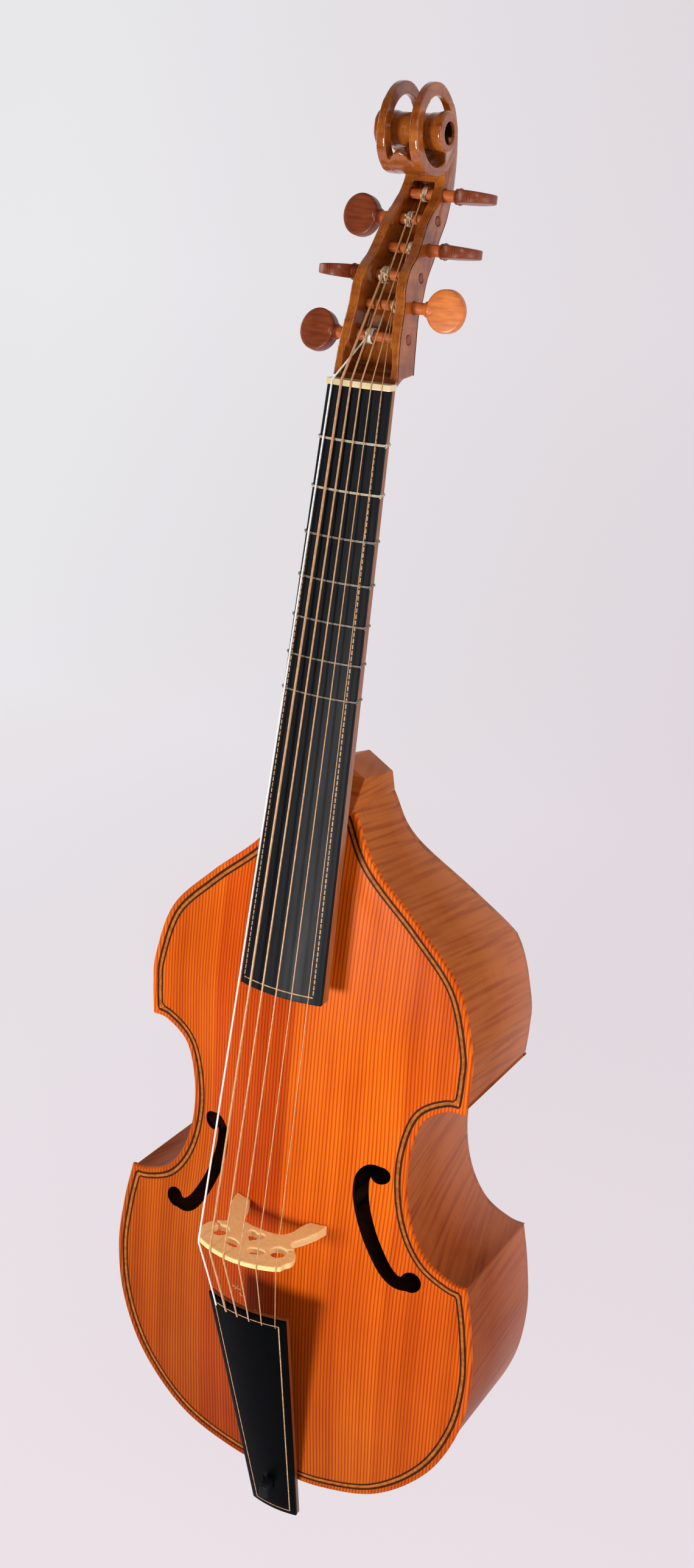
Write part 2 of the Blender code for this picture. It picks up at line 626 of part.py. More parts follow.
def make_head(material):
    """Pegbox and open scroll: two pierced rims, a drum across them and a web at the throat."""
    profile = CHEEK_FRONT + CHEEK_BACK
    rings = [[(side * cheek_x(z), y, z) for y, z in profile] for side in (-1, 1)]
    head = add_object("head", loft(rings), material, smooth=35)
    rim = [rim_point(10 * step) for step in range(36)]
    hole = circle(RIM_HOLE_CENTRE, RIM_HOLE_RADIUS, 32)
    for side in (1, -1):
        rings = [[(side * RIM_INNER_X, y, z) for y, z in rim], [(side * rim_face_x(z), y, z) for y, z in rim]]
        combine(head, add_object(f"rim_guide_{side + 1}", loft(rings), material), "UNION")
    bored = add_object("rim_hole_guide", extrude_x(hole, -THROUGH_HEAD, THROUGH_HEAD), material)
    combine(head, bored, "DIFFERENCE")
    low, high = THROAT_ANGLES
    sweep = [low + (high - low) * step / THROAT_STEPS for step in range(THROAT_STEPS + 1)]
    throat = [rim_point(angle, THROAT_OVERLAP) for angle in sweep]
    throat += [rim_point(angle, THROAT_WALL) for angle in sweep[::-1]]
    web = extrude_x(throat, -THROAT_HALF_WIDTH, THROAT_HALF_WIDTH)
    combine(head, add_object("throat_guide", web, material), "UNION")
    drum = [(-x, r) for x, r in reversed(DRUM_PROFILE)] + DRUM_PROFILE
    combine(head, add_object("drum_guide", turned(drum, DRUM_CENTRE, 24), material), "UNION")
    for side in (1, -1):
        rings = [[(side * LUG_INNER_X, y, z) for y, z, _ in LUG], [(side * x, y, z) for y, z, x in LUG]]
        combine(head, add_object(f"lug_guide_{side + 1}", loft(rings), material), "UNION")
    cavity = CAVITY_FRONT + CAVITY_BACK
    walls = [[(side * (cheek_x(z) - CHEEK_WALL), y, z) for y, z in cavity] for side in (-1, 1)]
    combine(head, add_object("pegbox_cutter", loft(walls), material), "DIFFERENCE")
    for name, side, centre, *_ in PEGS:
        x_end = cheek_x(centre[1]) + 3
        bore = [(side * x, peg_radius(x, centre[1]) + GAP) for x in (-x_end, x_end)]
        cutter = add_object(f"{name}_bore", turned(bore, centre, 12), material)
        combine(head, cutter, "DIFFERENCE")
    return head


# ---------- pegs, strings and frets ----------

def peg_radius(x, z):
    """Radius of the peg's tapered shaft, x millimetres towards its head from the middle."""
    reach = cheek_x(z)
    share = (x + reach) / (2 * reach)
    return PEG_SHAFT_RADII[0] + (PEG_SHAFT_RADII[1] - PEG_SHAFT_RADII[0]) * share


def make_peg(peg, material):
    """Tapered shaft through both cheeks, turned collar and flat oval head, as one piece."""
    name, side, centre, _, _, _, angle = peg
    reach = cheek_x(centre[1])
    neck = reach + PEG_BARE_SHAFT
    tip, radius = PEG_SHAFT_RADII
    profile = [(PEG_END_INSET - reach, tip), (reach, radius)]
    profile += [(neck + out, radius + rise) for out, rise in PEG_COLLAR]
    shaft = turned([(side * x, r) for x, r in profile], centre, 12)
    obj = add_object(name, shaft, material, origin=(0, *centre), smooth=35)
    along, across, thick = PEG_HEAD
    middle = side * (neck + PEG_COLLAR_HEIGHT + along - 1)
    blade = bmesh.new()
    bmesh.ops.create_uvsphere(blade, u_segments=14, v_segments=8, radius=1)
    turn = math.radians(angle)
    for vertex in blade.verts:
        x, v, w = vertex.co
        fullness = math.copysign(abs(w) ** PEG_HEAD_FULLNESS, w)
        thickness = thick * (1 - PEG_HEAD_THINNING * x * side) * fullness
        u = across * v
        vertex.co = (middle + along * x, centre[0] + u * math.cos(turn) - thickness * math.sin(turn),
                     centre[1] + u * math.sin(turn) + thickness * math.cos(turn))
    combine(obj, add_object(f"{name}_blade_guide", blade, material), "UNION")
    return obj


def winding_radius(peg):
    """Middle radius of the turns of string on a peg."""
    _, side, centre, i, x, _, _ = peg
    return peg_radius(side * x, centre[1]) + GAP + WINDING_CLEARANCE + STRING_DIAMETERS[i] / 2


def make_winding(peg, material):
    """The turns of string on one peg, as a ring of their outer shape."""
    name, side, centre, i, x, turns, _ = peg
    diameter = STRING_DIAMETERS[i]
    width = turns * diameter
    middle = winding_radius(peg)
    bm = turned_ring(x - width / 2, x + width / 2, middle - diameter / 2, middle + diameter / 2, centre, 18)
    add_object(f"winding_{i + 1}", bm, material, origin=(0, *centre), smooth=35)


def make_string(i, peg, material):
    """From just in front of its winding, over the nut and the bridge, to the tailpiece."""
    _, _, centre, _, x, turns, _ = peg
    nut, bridge, tail = string_places(i)
    off = winding_radius(peg) + STRING_DIAMETERS[i] + GAP
    start = Vector((x, centre[0] - off, centre[1]))
    nut_back = nut + Vector((0, 0.4, NUT_LENGTH - NUT_SEAT_CLEARANCE))
    points = [start, (start + nut_back) / 2, nut_back, nut]
    points += [nut.lerp(bridge, k / 4) for k in range(1, 4)]
    points += [bridge + Vector((0, 0, STRING_SEAT_LENGTH)), bridge + Vector((0, 0.2, -STRING_SEAT_LENGTH))]
    points += [bridge.lerp(tail, 0.5), tail]
    add_tube(f"string_{i + 1}", points, STRING_DIAMETERS[i] / 2, material)


def fret_z(number):
    """Height of a fret of equal temperament on the open string from nut to bridge."""
    return NUT_Z * 2 ** (-number / 12)


def neck_wrap(z, spread):
    """Tight loop round fingerboard and neck at height z, spread millimetres clear of them, as (x, y)."""
    half = along_board(BOARD_HALF_WIDTHS, z)
    shape = [(half * k / 3, board_y(half * k / 3, z)) for k in range(3, -4, -1)]
    core = half - CORE_INSET
    shape += [(core * s, board_under_y(z)) for s in (1, -1)]
    inner = half - NECK_INSET
    shape += [(x, y) for x, y, _ in neck_section(z, inner, along_board(NECK_DEPTHS, z), NECK_ROUNDNESS)]
    around = {(round(x, 4), round(y, 4)) for middle in shape for x, y in circle(middle, spread, 8)}
    return convex_outline(sorted(around))


def convex_outline(points):
    """Convex hull of sorted (x, y) points, going round once."""
    def chain(run):
        kept = []
        for point in run:
            while len(kept) > 1:
                (ax, ay), (bx, by) = kept[-2:]
                if (bx - ax) * (point[1] - ay) - (by - ay) * (point[0] - ax) > 1e-6:
                    break
                kept.pop()
            kept.append(point)
        return kept[:-1]
    return chain(points) + chain(points[::-1])


def make_fret(number, material):
    """A doubled loop of gut tied round the neck, with the outer shape of both strands."""
    z = fret_z(number)
    gut = FRET_GUTS[number - 1]
    outline = neck_wrap(z, GAP + FRET_CLEARANCE)
    count = len(outline)
    spokes = []
    for i, (x, y) in enumerate(outline):
        (ax, ay), (bx, by) = outline[i - 1], outline[(i + 1) % count]
        way = Vector((bx - ax, by - ay)).normalized()
        out_x, out_y = x + way.y * gut, y - way.x * gut
        spokes.append([(x, y, z - gut), (x, y, z + gut), (out_x, out_y, z + gut), (out_x, out_y, z - gut)])
    add_object(f"fret_{number}", loft(spokes, closed=True), material, origin=(0, 0, z))


# ---------- fingerboard, nut, bridge and tailpiece ----------

def arched_slab(z_values, half, front, back, columns=9):
    """A long slab whose front and back are functions of (x, z) and whose half width depends on z."""
    rings = []
    for z in z_values:
        xs = [half(z) * (2 * c / (columns - 1) - 1) for c in range(columns)]
        rings.append([(x, front(x, z), z) for x in xs] + [(x, back(x, z), z) for x in reversed(xs)])
    return loft(rings)


def make_fingerboard(veneer_material, core_material):
    """A black plate, arched like the strings, on a flat-backed core that reaches over the body."""
    veneer = arched_slab(BOARD_STATIONS, lambda z: along_board(BOARD_HALF_WIDTHS, z), board_y,
                         lambda x, z: board_y(x, z) + VENEER_THICKNESS)
    add_object("fingerboard_veneer", veneer, veneer_material, smooth=30)
    core = arched_slab(BOARD_STATIONS, lambda z: along_board(BOARD_HALF_WIDTHS, z) - CORE_INSET,
                       lambda x, z: board_y(x, z) + VENEER_THICKNESS + GAP,
                       lambda x, z: board_under_y(z))
    add_object("fingerboard_core", core, core_material, smooth=30)


def make_nut(material):
    """Narrow bone block between the fingerboard's end and the pegbox."""
    seat = board_under_y(NUT_Z + NUT_LENGTH / 2) - GAP
    lift = STRING_RISE_AT_NUT - NUT_SEAT_CLEARANCE - GAP
    slab = arched_slab((NUT_Z + GAP, NUT_Z + NUT_LENGTH), lambda z: NUT_HALF_WIDTH,
                       lambda x, z: board_y(x * NUT_ROUNDING, NUT_Z) - lift + NUT_FALL * (z - NUT_Z),
                       lambda x, z: seat)
    add_object("nut", slab, material, smooth=30)


def bridge_outline():
    """Whole outline of the bridge as (x, height), feet down."""
    crest = []
    for x in BRIDGE_CREST_X:
        top = BRIDGE_CREST_Y + BRIDGE_SEAT_CLEARANCE + GAP + BRIDGE_CREST_DROP * (x / CREST_HALF_WIDTH) ** 2
        crest.append((x, TOP_Y - top))
    foot = [(x, TOP_Y - arch_y(x, 0) + GAP + BRIDGE_FOOT_CLEARANCE) for x in BRIDGE_FOOT]
    treble = [foot[2]] + BRIDGE_SIDE + crest[::-1][:4]
    bass = [(-x, h) for x, h in reversed(treble)]
    arch = BRIDGE_LEG_INNER
    legs = [foot[0]] + arch + [(-x, h) for x, h in reversed(arch[:-1])] + [(-foot[0][0], foot[0][1])]
    return treble + [crest[4]] + bass + [(-foot[1][0], foot[1][1])] + legs[::-1] + [foot[1]]


def make_bridge(material):
    """Thick at its feet and thin at its crest; its tail side is upright."""
    def placed(outline, low, high):
        rings = []
        for face in (low, high):
            ring = []
            for x, height in outline:
                share = max(0.0, min(1.0, height / BRIDGE_HEIGHT))
                thickness = BRIDGE_THICKNESSES[0] + (BRIDGE_THICKNESSES[1] - BRIDGE_THICKNESSES[0]) * share
                ring.append((x, TOP_Y - height, BRIDGE_TAIL_FACE_Z + face * thickness))
            rings.append(ring)
        return loft(rings)
    bridge = add_object("bridge", placed(bridge_outline(), 0, 1), material)
    eye_x, eye_h, eye_r = BRIDGE_EYE
    shapes = [circle((side * eye_x, eye_h), eye_r, 14) for side in (1, -1)]
    shapes.append(circle(BRIDGE_HEART[:2], BRIDGE_HEART[2], 14))
    slot_x, slot_h, slot_long, slot_high = BRIDGE_SLOTS
    for side in (1, -1):
        shapes.append([(side * slot_x + slot_long * math.cos(a), slot_h - abs(0.25 * math.cos(a) * slot_long)
                        + slot_high * math.sin(a)) for a in (2 * math.pi * k / 14 for k in range(14))])
    for i, shape in enumerate(shapes):
        cutter = add_object(f"bridge_cutter_{i}", placed(shape, -1.0, 2.0), material)
        combine(bridge, cutter, "DIFFERENCE")
    return bridge


def make_tailpiece(veneer_material, core_material):
    """A crowned plate on a core, both pierced near their end by the slot for the hook."""
    slot_x, slot_low, slot_high = HOOK_SLOT
    veneer = arched_slab(TAIL_STATIONS, lambda z: along_tail(TAIL_HALF_WIDTHS, z), tail_y,
                         lambda x, z: tail_y(x, z) + TAIL_VENEER)
    core = arched_slab(TAIL_STATIONS, lambda z: along_tail(TAIL_HALF_WIDTHS, z) - TAIL_CORE_INSET,
                       lambda x, z: tail_y(x, z) + TAIL_VENEER + GAP,
                       lambda x, z: tail_y(x, z) + TAIL_VENEER + GAP + TAIL_CORE)
    pieces = [add_object("tailpiece_veneer", veneer, veneer_material, smooth=30),
              add_object("tailpiece_core", core, core_material, smooth=30)]
    slot = [(-slot_x, slot_low), (slot_x, slot_low), (slot_x, slot_high), (-slot_x, slot_high)]
    cutter = add_object("tail_slot_cutter", extrude_y(slot, *SLOT_CUT_Y), core_material)
    for piece in pieces:
        combine(piece, cutter, "DIFFERENCE")


def make_hook_bar(material):
    """The bent bar on the end block whose upturned tip holds the tailpiece."""
    bar = extrude_x(HOOK_PROFILE, -HOOK_HALF_WIDTH, HOOK_HALF_WIDTH)
    add_object("hook_bar", bar, material)


# ---------- assembly ----------

def clear_scene():
    """Remove whatever the new file starts with."""
    for obj in list(bpy.data.objects):
        bpy.data.objects.remove(obj)


def main():
    clear_scene()
    spruce = make_material("soundboard_spruce", (0.72, 0.24, 0.04), 0.3)
    maple = make_material("body_maple", (0.36, 0.14, 0.05), 0.25)
    head_maple = make_material("head_maple", (0.34, 0.11, 0.025), 0.25)
    lining = make_material("inner_spruce", (0.72, 0.53, 0.32), 0.7)
    bridge_maple = make_material("bridge_maple", (0.75, 0.5, 0.27), 0.5)
    ebony = make_material("ebony", (0.015, 0.016, 0.02), 0.35)
    core = make_material("veneer_core", (0.36, 0.14, 0.05), 0.45)
    ivory = make_material("nut_bone", (0.85, 0.76, 0.52), 0.4)
    gut = make_material("gut", (0.62, 0.42, 0.22), 0.5)
    silver = make_material("silver_wound", (0.8, 0.8, 0.78), 0.3, 0.8)
    peg_wood = make_material("peg_fruitwood", (0.28, 0.075, 0.03), 0.35)

    make_soundboard(spruce, lining)
    make_ribs(maple)
    make_back(maple)
    make_linings(lining)
    make_corner_blocks(lining)
    make_blocks(lining)
    make_bracing(lining)
    make_neck(head_maple)
    make_head(head_maple)
    make_fingerboard(ebony, core)
    make_nut(ivory)
    make_bridge(bridge_maple)
    make_tailpiece(ebony, core)
    make_hook_bar(ebony)
    for number in range(1, FRET_COUNT + 1):
        make_fret(number, gut)
    for peg in PEGS:
        string = peg[3]
        cord = silver if string == 0 else gut
        make_peg(peg, peg_wood)
        make_winding(peg, cord)
        make_string(string, peg, cord)


main()
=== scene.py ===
"""Looks of a six-string bass viola da gamba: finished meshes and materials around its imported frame.

Lengths in the modelling code are millimetres in the frame's axes: +Z up the neck, -Y out of the
soundboard, +X towards the treble side. They become metres when an object is made.
"""

import math

import bmesh
import bpy
import numpy as np
from mathutils import Matrix, Vector
from mathutils.geometry import delaunay_2d_cdt


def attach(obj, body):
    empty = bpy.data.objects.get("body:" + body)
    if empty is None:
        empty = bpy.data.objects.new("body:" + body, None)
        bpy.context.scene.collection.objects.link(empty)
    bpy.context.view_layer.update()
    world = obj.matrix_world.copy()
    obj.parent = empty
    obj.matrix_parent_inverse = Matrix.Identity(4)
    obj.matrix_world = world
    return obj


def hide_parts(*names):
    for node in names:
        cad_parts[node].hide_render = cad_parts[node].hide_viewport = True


MM = 0.001
ROOT = "instrument"

# Body, as in the frame: the outline of the treble half as (x, z).
UPPER_BOUT = [(32, 362), (52, 323), (97, 281), (133, 241.5), (148.6, 193), (150.1, 165), (148.5, 137)]
WAIST = [(148.5, 137), (133, 135), (113, 119), (103.8, 85), (104, 50), (112.3, 18),
         (127.9, -5.3), (149.5, -15.9), (164.8, -17)]
LOWER_BOUT = [(164.8, -17), (172.9, -57), (177.5, -105), (170, -158), (145, -210),
              (100, -252), (45, -270.5), (0, -273)]
SPLINE_STEPS = 12
OVERHANG = 2.5
RIB_THICKNESS = 2.0
TOP_Y = -122.0
TOP_THICKNESS = 4.0
BACK_THICKNESS = 4.0
SLOPED_BACK_THICKNESS = 4.6
BEND_Z = 244.7
BACK_SLOPE = [(244.7, 0), (290, -24.2), (332, -46), (362, -51.5)]
ARCH_HEIGHT = [(-273, 0), (-240, 4), (-160, 15), (-60, 22), (20, 23), (110, 21), (210, 17),
               (300, 9), (362, 4)]
ARCH_WIDTH = [(-273, 60), (-200, 150), (-100, 172), (-17, 145), (60, 112), (137, 128), (200, 148),
              (300, 85), (362, 45)]
EDGE_FLUTE = 30.0
EDGE_BEAD = (1.9, 0.75, 1.5)
EDGE_ROLL = [(1.5, -0.62), (0.8, -0.28), (0.3, 0.35), (0.02, 1.3), (0.02, 2.6), (0.4, 3.6), (1.3, 4.0)]
BACK_ROLL = [(0.9, 0.0), (0.3, 0.25), (0.0, 0.9), (0.0, 4.0)]
BACK_FLAME_SLANT = 0.12
GRID_PITCH = 5.2
GRID_MARGIN = 16.0
PURFLING_LIFTS = (0.12, 0.08)
PURFLING_SINK = 0.6
HEEL_OVERRUN = 1.4
SKIN_GAP = 0.05
FLAME_SLANTS = {"upper": -0.12, "waist": 0.3, "lower": 0.15}
PURFLING = [(4.6, 6.6), (8.9, 10.5)]

# Strings, from the bass side to the treble side.
STRING_DIAMETERS = [1.5, 2.0, 1.5, 1.2, 0.85, 0.65]
NUT_Z = 681.4
NUT_LENGTH = 4.6
NUT_HALF_WIDTH = 26.8
NUT_HALF_SPACING = 20.8
BRIDGE_HALF_SPACING = 36.6
TAIL_HALF_SPACING = 28.7
BRIDGE_CREST_Y = -218.5
BRIDGE_CREST_DROP = 8.2
CREST_HALF_WIDTH = 35.0
STRING_RISE_AT_NUT = 2.5
STRING_RISE_AT_TAIL = 0.3
STRING_SEAT_LENGTH = 1.5
NUT_FALL = 0.18
NUT_ROUNDING = 0.95
NUT_TOP_BELOW_STRINGS = 0.6

# Fingerboard.
BOARD_END_Z = 216.0
BOARD_HALF_WIDTHS = (26.45, 37.0)
BOARD_EDGE_Y = (-106.0, -165.7)
BOARD_THICKNESSES = (8.0, 12.5)
BOARD_RADIUS = 118.0
VENEER_THICKNESS = 3.2
CORE_INSET = 0.3
CORE_GAP = 0.02
BOARD_INLAY_GAPS = {1: 6.8, -1: 3.6}
BOARD_INLAY_ENDS = (6.0, 4.0)
BOARD_INLAY_WIDTHS = (0.95, 0.9)
BOARD_INLAY_DASH = (3.4, 1.1)
FRET_COUNT = 7
FRET_CLEARANCE = 0.17
FRET_GUTS = [0.95, 0.9, 0.85, 0.8, 0.75, 0.7, 0.65]

# Neck and head.
HEEL_Z = 362.3
HEEL_HALF_WIDTHS = (29.5, 28.0)
HEEL_BACK_Y = -51.5
HEEL_SHOULDERS = [(-103, 385), (-55, 379)]
HEEL_RIDGE = [(-44, 388), (-89, 391)]
NECK_INSET = 5.0
NECK_DEPTHS = (20.0, 28.0)
NECK_ROUNDNESS = 1.6
NECK_STATIONS = (366.3, 385, 400, 440, 480, 520, 560, 600, 640, 670)
NECK_FLARE = [(679, 22.5, 21, 1.7), (685, 24.5, 24, 2.2), (690, 26, 27, 3)]
CHEEK_HALF_WIDTH = 26.5
CHEEK_TAPER = 0.0724
CHEEK_BASE_Z = 690.0
CHEEK_TIP_HALF_WIDTH = 16.2
CHEEK_FRONT = [(-98.1, 687.4), (-96.2, 706), (-93.3, 721), (-88.8, 737), (-87, 753), (-80.2, 765.3),
               (-69.9, 774.1), (-60.5, 787), (-54, 797), (-44.6, 806), (-33.4, 817), (-28, 826), (-27, 834)]
CHEEK_BACK = [(-11, 866), (-8.5, 850), (-8, 836), (-11, 820), (-14.4, 813), (-22.1, 798.2),
              (-32.3, 785.5), (-39.4, 773.4), (-51.2, 757.9), (-57.6, 743.8), (-64.1, 731.9),
              (-66.9, 715.7), (-69.3, 700.4), (-70.4, 690.6)]
CHEEK_WALL = 7.6
MOUTH_WALL = 3.0
MOUTH_TOP_Z = 724.0
CAVITY_FRONT = [(-107, 694), (-101, 722), (-95, 756), (-77, 776), (-63, 796), (-45, 815), (-39, 826)]
CAVITY_BACK = [(-15, 826), (-18.5, 812), (-26.5, 797), (-43.5, 771.5), (-54.5, 756), (-67.5, 730),
               (-72.5, 700), (-73, 694)]
SCROLL_CENTRE = (-42.8, 862.2)
RIM_RADII = [(0, 32.5), (22, 31), (55, 30), (90, 31.5), (120, 32.5), (180, 33.5), (210, 35), (235, 35),
             (270, 32.5), (320, 32), (360, 32.5)]
RIM_HOLE_CENTRE = (-42.7, 860.4)
RIM_HOLE_RADIUS = 24.2
RIM_INNER_X = 9.7
RIM_OUTER_X = 16.2
RIM_FLARE = 0.045
DRUM_CENTRE = (-47.2, 860.5)
DRUM_PROFILE = [(12, 12.1), (14, 12.7), (18, 13.0), (22.3, 14.0), (25.8, 14.4), (27.3, 13.6)]
EAR_REACH = 27.3
EAR_EYE = (-46.2, 859.6)
LUG = [(-44, 850, 24), (-36, 857, 24), (-14, 851, 16), (-17, 842, 16), (-26, 836.5, 16)]
LUG_INNER_X = 10.1
THROAT_ANGLES = (-132, -38)
THROAT_WALL = 5.5
THROAT_ARCH = 17
THROAT_HALF_WIDTH = 10.0
THROUGH_HEAD = 32.0
EYE_PROFILE = [(11, 4), (12, 7.2), (32, 8.2)]
EYE_SHADE_RADIUS = 8.6
BOSS_OFFSET = (4.5, -3.5)
BOSS_PROFILE = [(10, 3.6), (23, 3.0), (25, 1.8)]
MOUTH_DEEP_Y = -108.0
HEAD_VOXEL = 0.7

# Pegs: name, side, axis (y, z), string index, x of the winding, turns, angle of the flat head.
PEGS = [
    ("peg_bass_1", -1, (-80.3, 716.3), 0, -6.6, 4, 74),
    ("peg_bass_2", -1, (-61.7, 759.1), 1, -7.4, 3, -4),
    ("peg_bass_3", -1, (-36.5, 798.8), 2, -3.4, 3, 80),
    ("peg_treble_3", 1, (-26.0, 816.8), 3, 2.0, 3, -4),
    ("peg_treble_2", 1, (-49.0, 778.5), 4, 5.5, 4, -4),
    ("peg_treble_1", 1, (-72.0, 738.6), 5, 8.0, 5, 88),
]
PEG_SHAFT_RADII = (3.5, 4.4)
PEG_BARE_SHAFT = 9.5
PEG_END = [(0.1, 0.4), (0.1, 3.0), (0.6, 3.5)]
PEG_COLLAR = [(-0.4, -0.1), (0.0, 0.9), (0.7, 1.35), (1.4, 0.9), (1.7, 0.4), (2.1, 0.8), (2.8, 1.7),
              (3.6, 1.9), (5.2, 1.2), (9.0, -1.0)]
PEG_COLLAR_HEIGHT = 3.2
PEG_HEAD_SINK = 1.2
PEG_HEAD_LAYERS = [(0.02, 1.05), (0.5, 1.04), (0.85, 1.0), (0.95, 0.96), (0.985, 0.88), (1.0, 0.74)]
PEG_HEAD_SIDES = 56
SCORE_DEPTH = 0.45
SCORE_WIDTH = 0.4
WINDING_CLEARANCE = 0.65
WINDING_SINK = 0.3
PEG_HEAD = (14.7, 15.6)
PEG_HEAD_HALF_THICKNESS = (5.3, 3.4)
PEG_SCORES = (-1.0, 1.1)

# Bridge: treble half of the outline as (x, height above the soundboard's rim).
BRIDGE_LEG_INNER = [(26, 29), (23.5, 40), (18, 47.5), (9, 50), (0, 50.3)]
BRIDGE_SIDE = [(41.5, 30), (36, 43), (31.5, 51), (31, 56), (36, 58.5), (41.2, 64),
               (43.4, 70), (43.2, 75.5), (40.6, 79.4), (39.4, 84.4)]
BRIDGE_FEET = (29.5, 44.0)
BRIDGE_CREST_END = 34.8
BRIDGE_HEIGHT = 96.0
BRIDGE_EYE = (27.5, 69.0, 7.0)
BRIDGE_SLIT = [(2, -5.4), (11, -9.4), (11, -7.8), (3, -3.6)]
BRIDGE_HEART = (0.0, 60.5, 6.8)
BRIDGE_SLOTS = (11.5, 77.5, 7.5, 4.2)
BRIDGE_TAIL_FACE_Z = -1.8
BRIDGE_THICKNESSES = (10.0, 4.0)

# Tailpiece and the bar that it hooks onto.
TAIL_TOP_Z = -60.9
TAIL_END_Z = -316.7
TAIL_HALF_WIDTHS = (37.3, 22.6)
TAIL_EDGE_Y = (-189.0, -117.3)
TAIL_CROWNS = (6.5, 3.0)
TAIL_VENEER = 2.2
TAIL_CORE = 4.6
TAIL_CORE_INSET = 0.2
TAIL_STRING_Z = -68.5
TAIL_INLAY = (5.6, 0.9)
TAIL_INLAY_ENDS = (7.0, 4.5)
LOOSE_ENDS = [((-19, -177, -58), (-14, -181, -51)), ((-20, -180, -52.5), (-13, -178, -56)),
              ((-9, -182, -58), (-10, -184, -54))]
SLOT_CUT_Y = (-162.0, -92.0)
HOOK_PROFILE = [(-59, -270.9), (-115, -270.9), (-116.5, -274.2), (-124, -277.2), (-138, -277.6),
                (-141, -280), (-141, -290), (-136.6, -290), (-135.6, -284), (-115, -283),
                (-63, -279), (-59, -276)]
HOOK_HALF_WIDTH = 4.0
HOOK_SLOT = (5.5, -284.4, -273.5)

# Sound holes: middle line and half widths of the stem, and the two round ends.
HOLE_STEM = [(80.5, 62.5, 6.4), (73, 64.5, 5.2), (67.6, 57, 5.8), (67.2, 44, 6.4), (70.3, 28, 6.4),
             (77, 9, 6.3), (86, -9, 6.3), (95.5, -23.6, 6.2), (105, -30.6, 6.1), (114.5, -29.6, 7.0)]
HOLE_EYES = [(81.6, 60.6, 7.8), (116.4, -28.0, 9.0)]
BASS_HOLE_DROP = 4.0

# Camera: where it stands, what it looks along, and its lens.
CAMERA_PLACE = (626.32, -1262.90, 833.95)
CAMERA_RIGHT = (0.87032, 0.48765, 0.06887)
CAMERA_UP = (-0.21781, 0.25569, 0.94190)
CAMERA_FORWARD = (-0.44171, 0.83475, -0.32875)
CAMERA_LENS = 40.786


# ---------- arithmetic ----------

def spline(points, steps, after=None):
    """A smooth curve through the points (Catmull-Rom), with steps stretches between neighbours."""
    first = [2 * a - b for a, b in zip(points[0], points[1])]
    last = after or [2 * a - b for a, b in zip(points[-1], points[-2])]
    run = [first, *points, last]
    found = []
    for before, start, end, beyond in zip(run, run[1:], run[2:], run[3:]):
        for step in range(steps):
            t = step / steps
            found.append(tuple(
                0.5 * (2 * b + (c - a) * t + (2 * a - 5 * b + 4 * c - d) * t * t
                       + (3 * b - a - 3 * c + d) * t ** 3)
                for a, b, c, d in zip(before, start, end, beyond)))
    return found + [tuple(points[-1])]


def smooth_table(table):
    """Keys and values of a table, filled in with a smooth curve, for numpy's interpolation."""
    fine = sorted(spline(sorted(table), 12))
    return np.array([k for k, _ in fine]), np.array([v for _, v in fine])


def between(table, key):
    """Linear interpolation in a table of (key, value), held constant beyond its ends."""
    table = sorted(table)
    return float(np.interp(key, [k for k, _ in table], [v for _, v in table]))


def inset(outline, distance):
    """The open outline moved towards the body's middle by distance, with mitred corners."""
    moved = []
    for i, point in enumerate(outline):
        here = Vector(point)
        legs = []
        if i:
            legs.append((here - Vector(outline[i - 1])).normalized())
        if i < len(outline) - 1:
            legs.append((Vector(outline[i + 1]) - here).normalized())
        normals = [Vector((leg.y, -leg.x)) for leg in legs]
        middle = sum(normals, Vector((0, 0))).normalized()
        moved.append(here + middle * (distance / middle.dot(normals[0])))
    return moved


def clean_insets(outline, distances):
    """The outline moved inwards by several distances, less the points that cross over at its corners."""
    lines = [inset(outline, d) for d in distances]
    deep = [distance_to_outline([tuple(p) for p in line]) for line in lines]
    good = [i for i in range(len(outline)) if all(far[i] > d - 0.12 for far, d in zip(deep, distances))]
    return [[tuple(line[i]) for i in good] for line in lines]


def rib_line(distance):
    """The ribs' outside face or a line inside it, carried on a little at the top to meet the heel."""
    line = inset(OUTLINE, OVERHANG + distance)
    return [line[0] + (line[0] - line[1]).normalized() * HEEL_OVERRUN] + line[1:]


def whole_loop(half):
    """The closed loop of a treble half outline and its mirror image."""
    return [(x, z) for x, z in half] + [(-x, z) for x, z in reversed(half[:-1])]


OUTLINE = (spline(UPPER_BOUT, SPLINE_STEPS)[:-1] + spline(WAIST, SPLINE_STEPS)[:-1]
           + spline(LOWER_BOUT, SPLINE_STEPS, after=(-45, -270.5)))
UPPER_CORNER = SPLINE_STEPS * (len(UPPER_BOUT) - 1)
LOWER_CORNER = UPPER_CORNER + SPLINE_STEPS * (len(WAIST) - 1)
BOTTOM = len(OUTLINE) - 1
HEIGHT_TABLE = smooth_table(ARCH_HEIGHT)
WIDTH_TABLE = smooth_table(ARCH_WIDTH)
SLOPE_TABLE = smooth_table(BACK_SLOPE)


def distance_to_outline(points):
    """Shortest way from each (x, z) row to the body's outline."""
    here = np.array(points, float)
    here[:, 0] = abs(here[:, 0])
    a = np.array(OUTLINE[:-1])
    leg = np.array(OUTLINE[1:]) - a
    best = np.full(len(here), 1e9)
    for start, way in zip(a, leg):
        t = np.clip(((here - start) @ way) / (way @ way), 0, 1)
        best = np.minimum(best, np.linalg.norm(here - start - t[:, None] * way, axis=1))
    return best


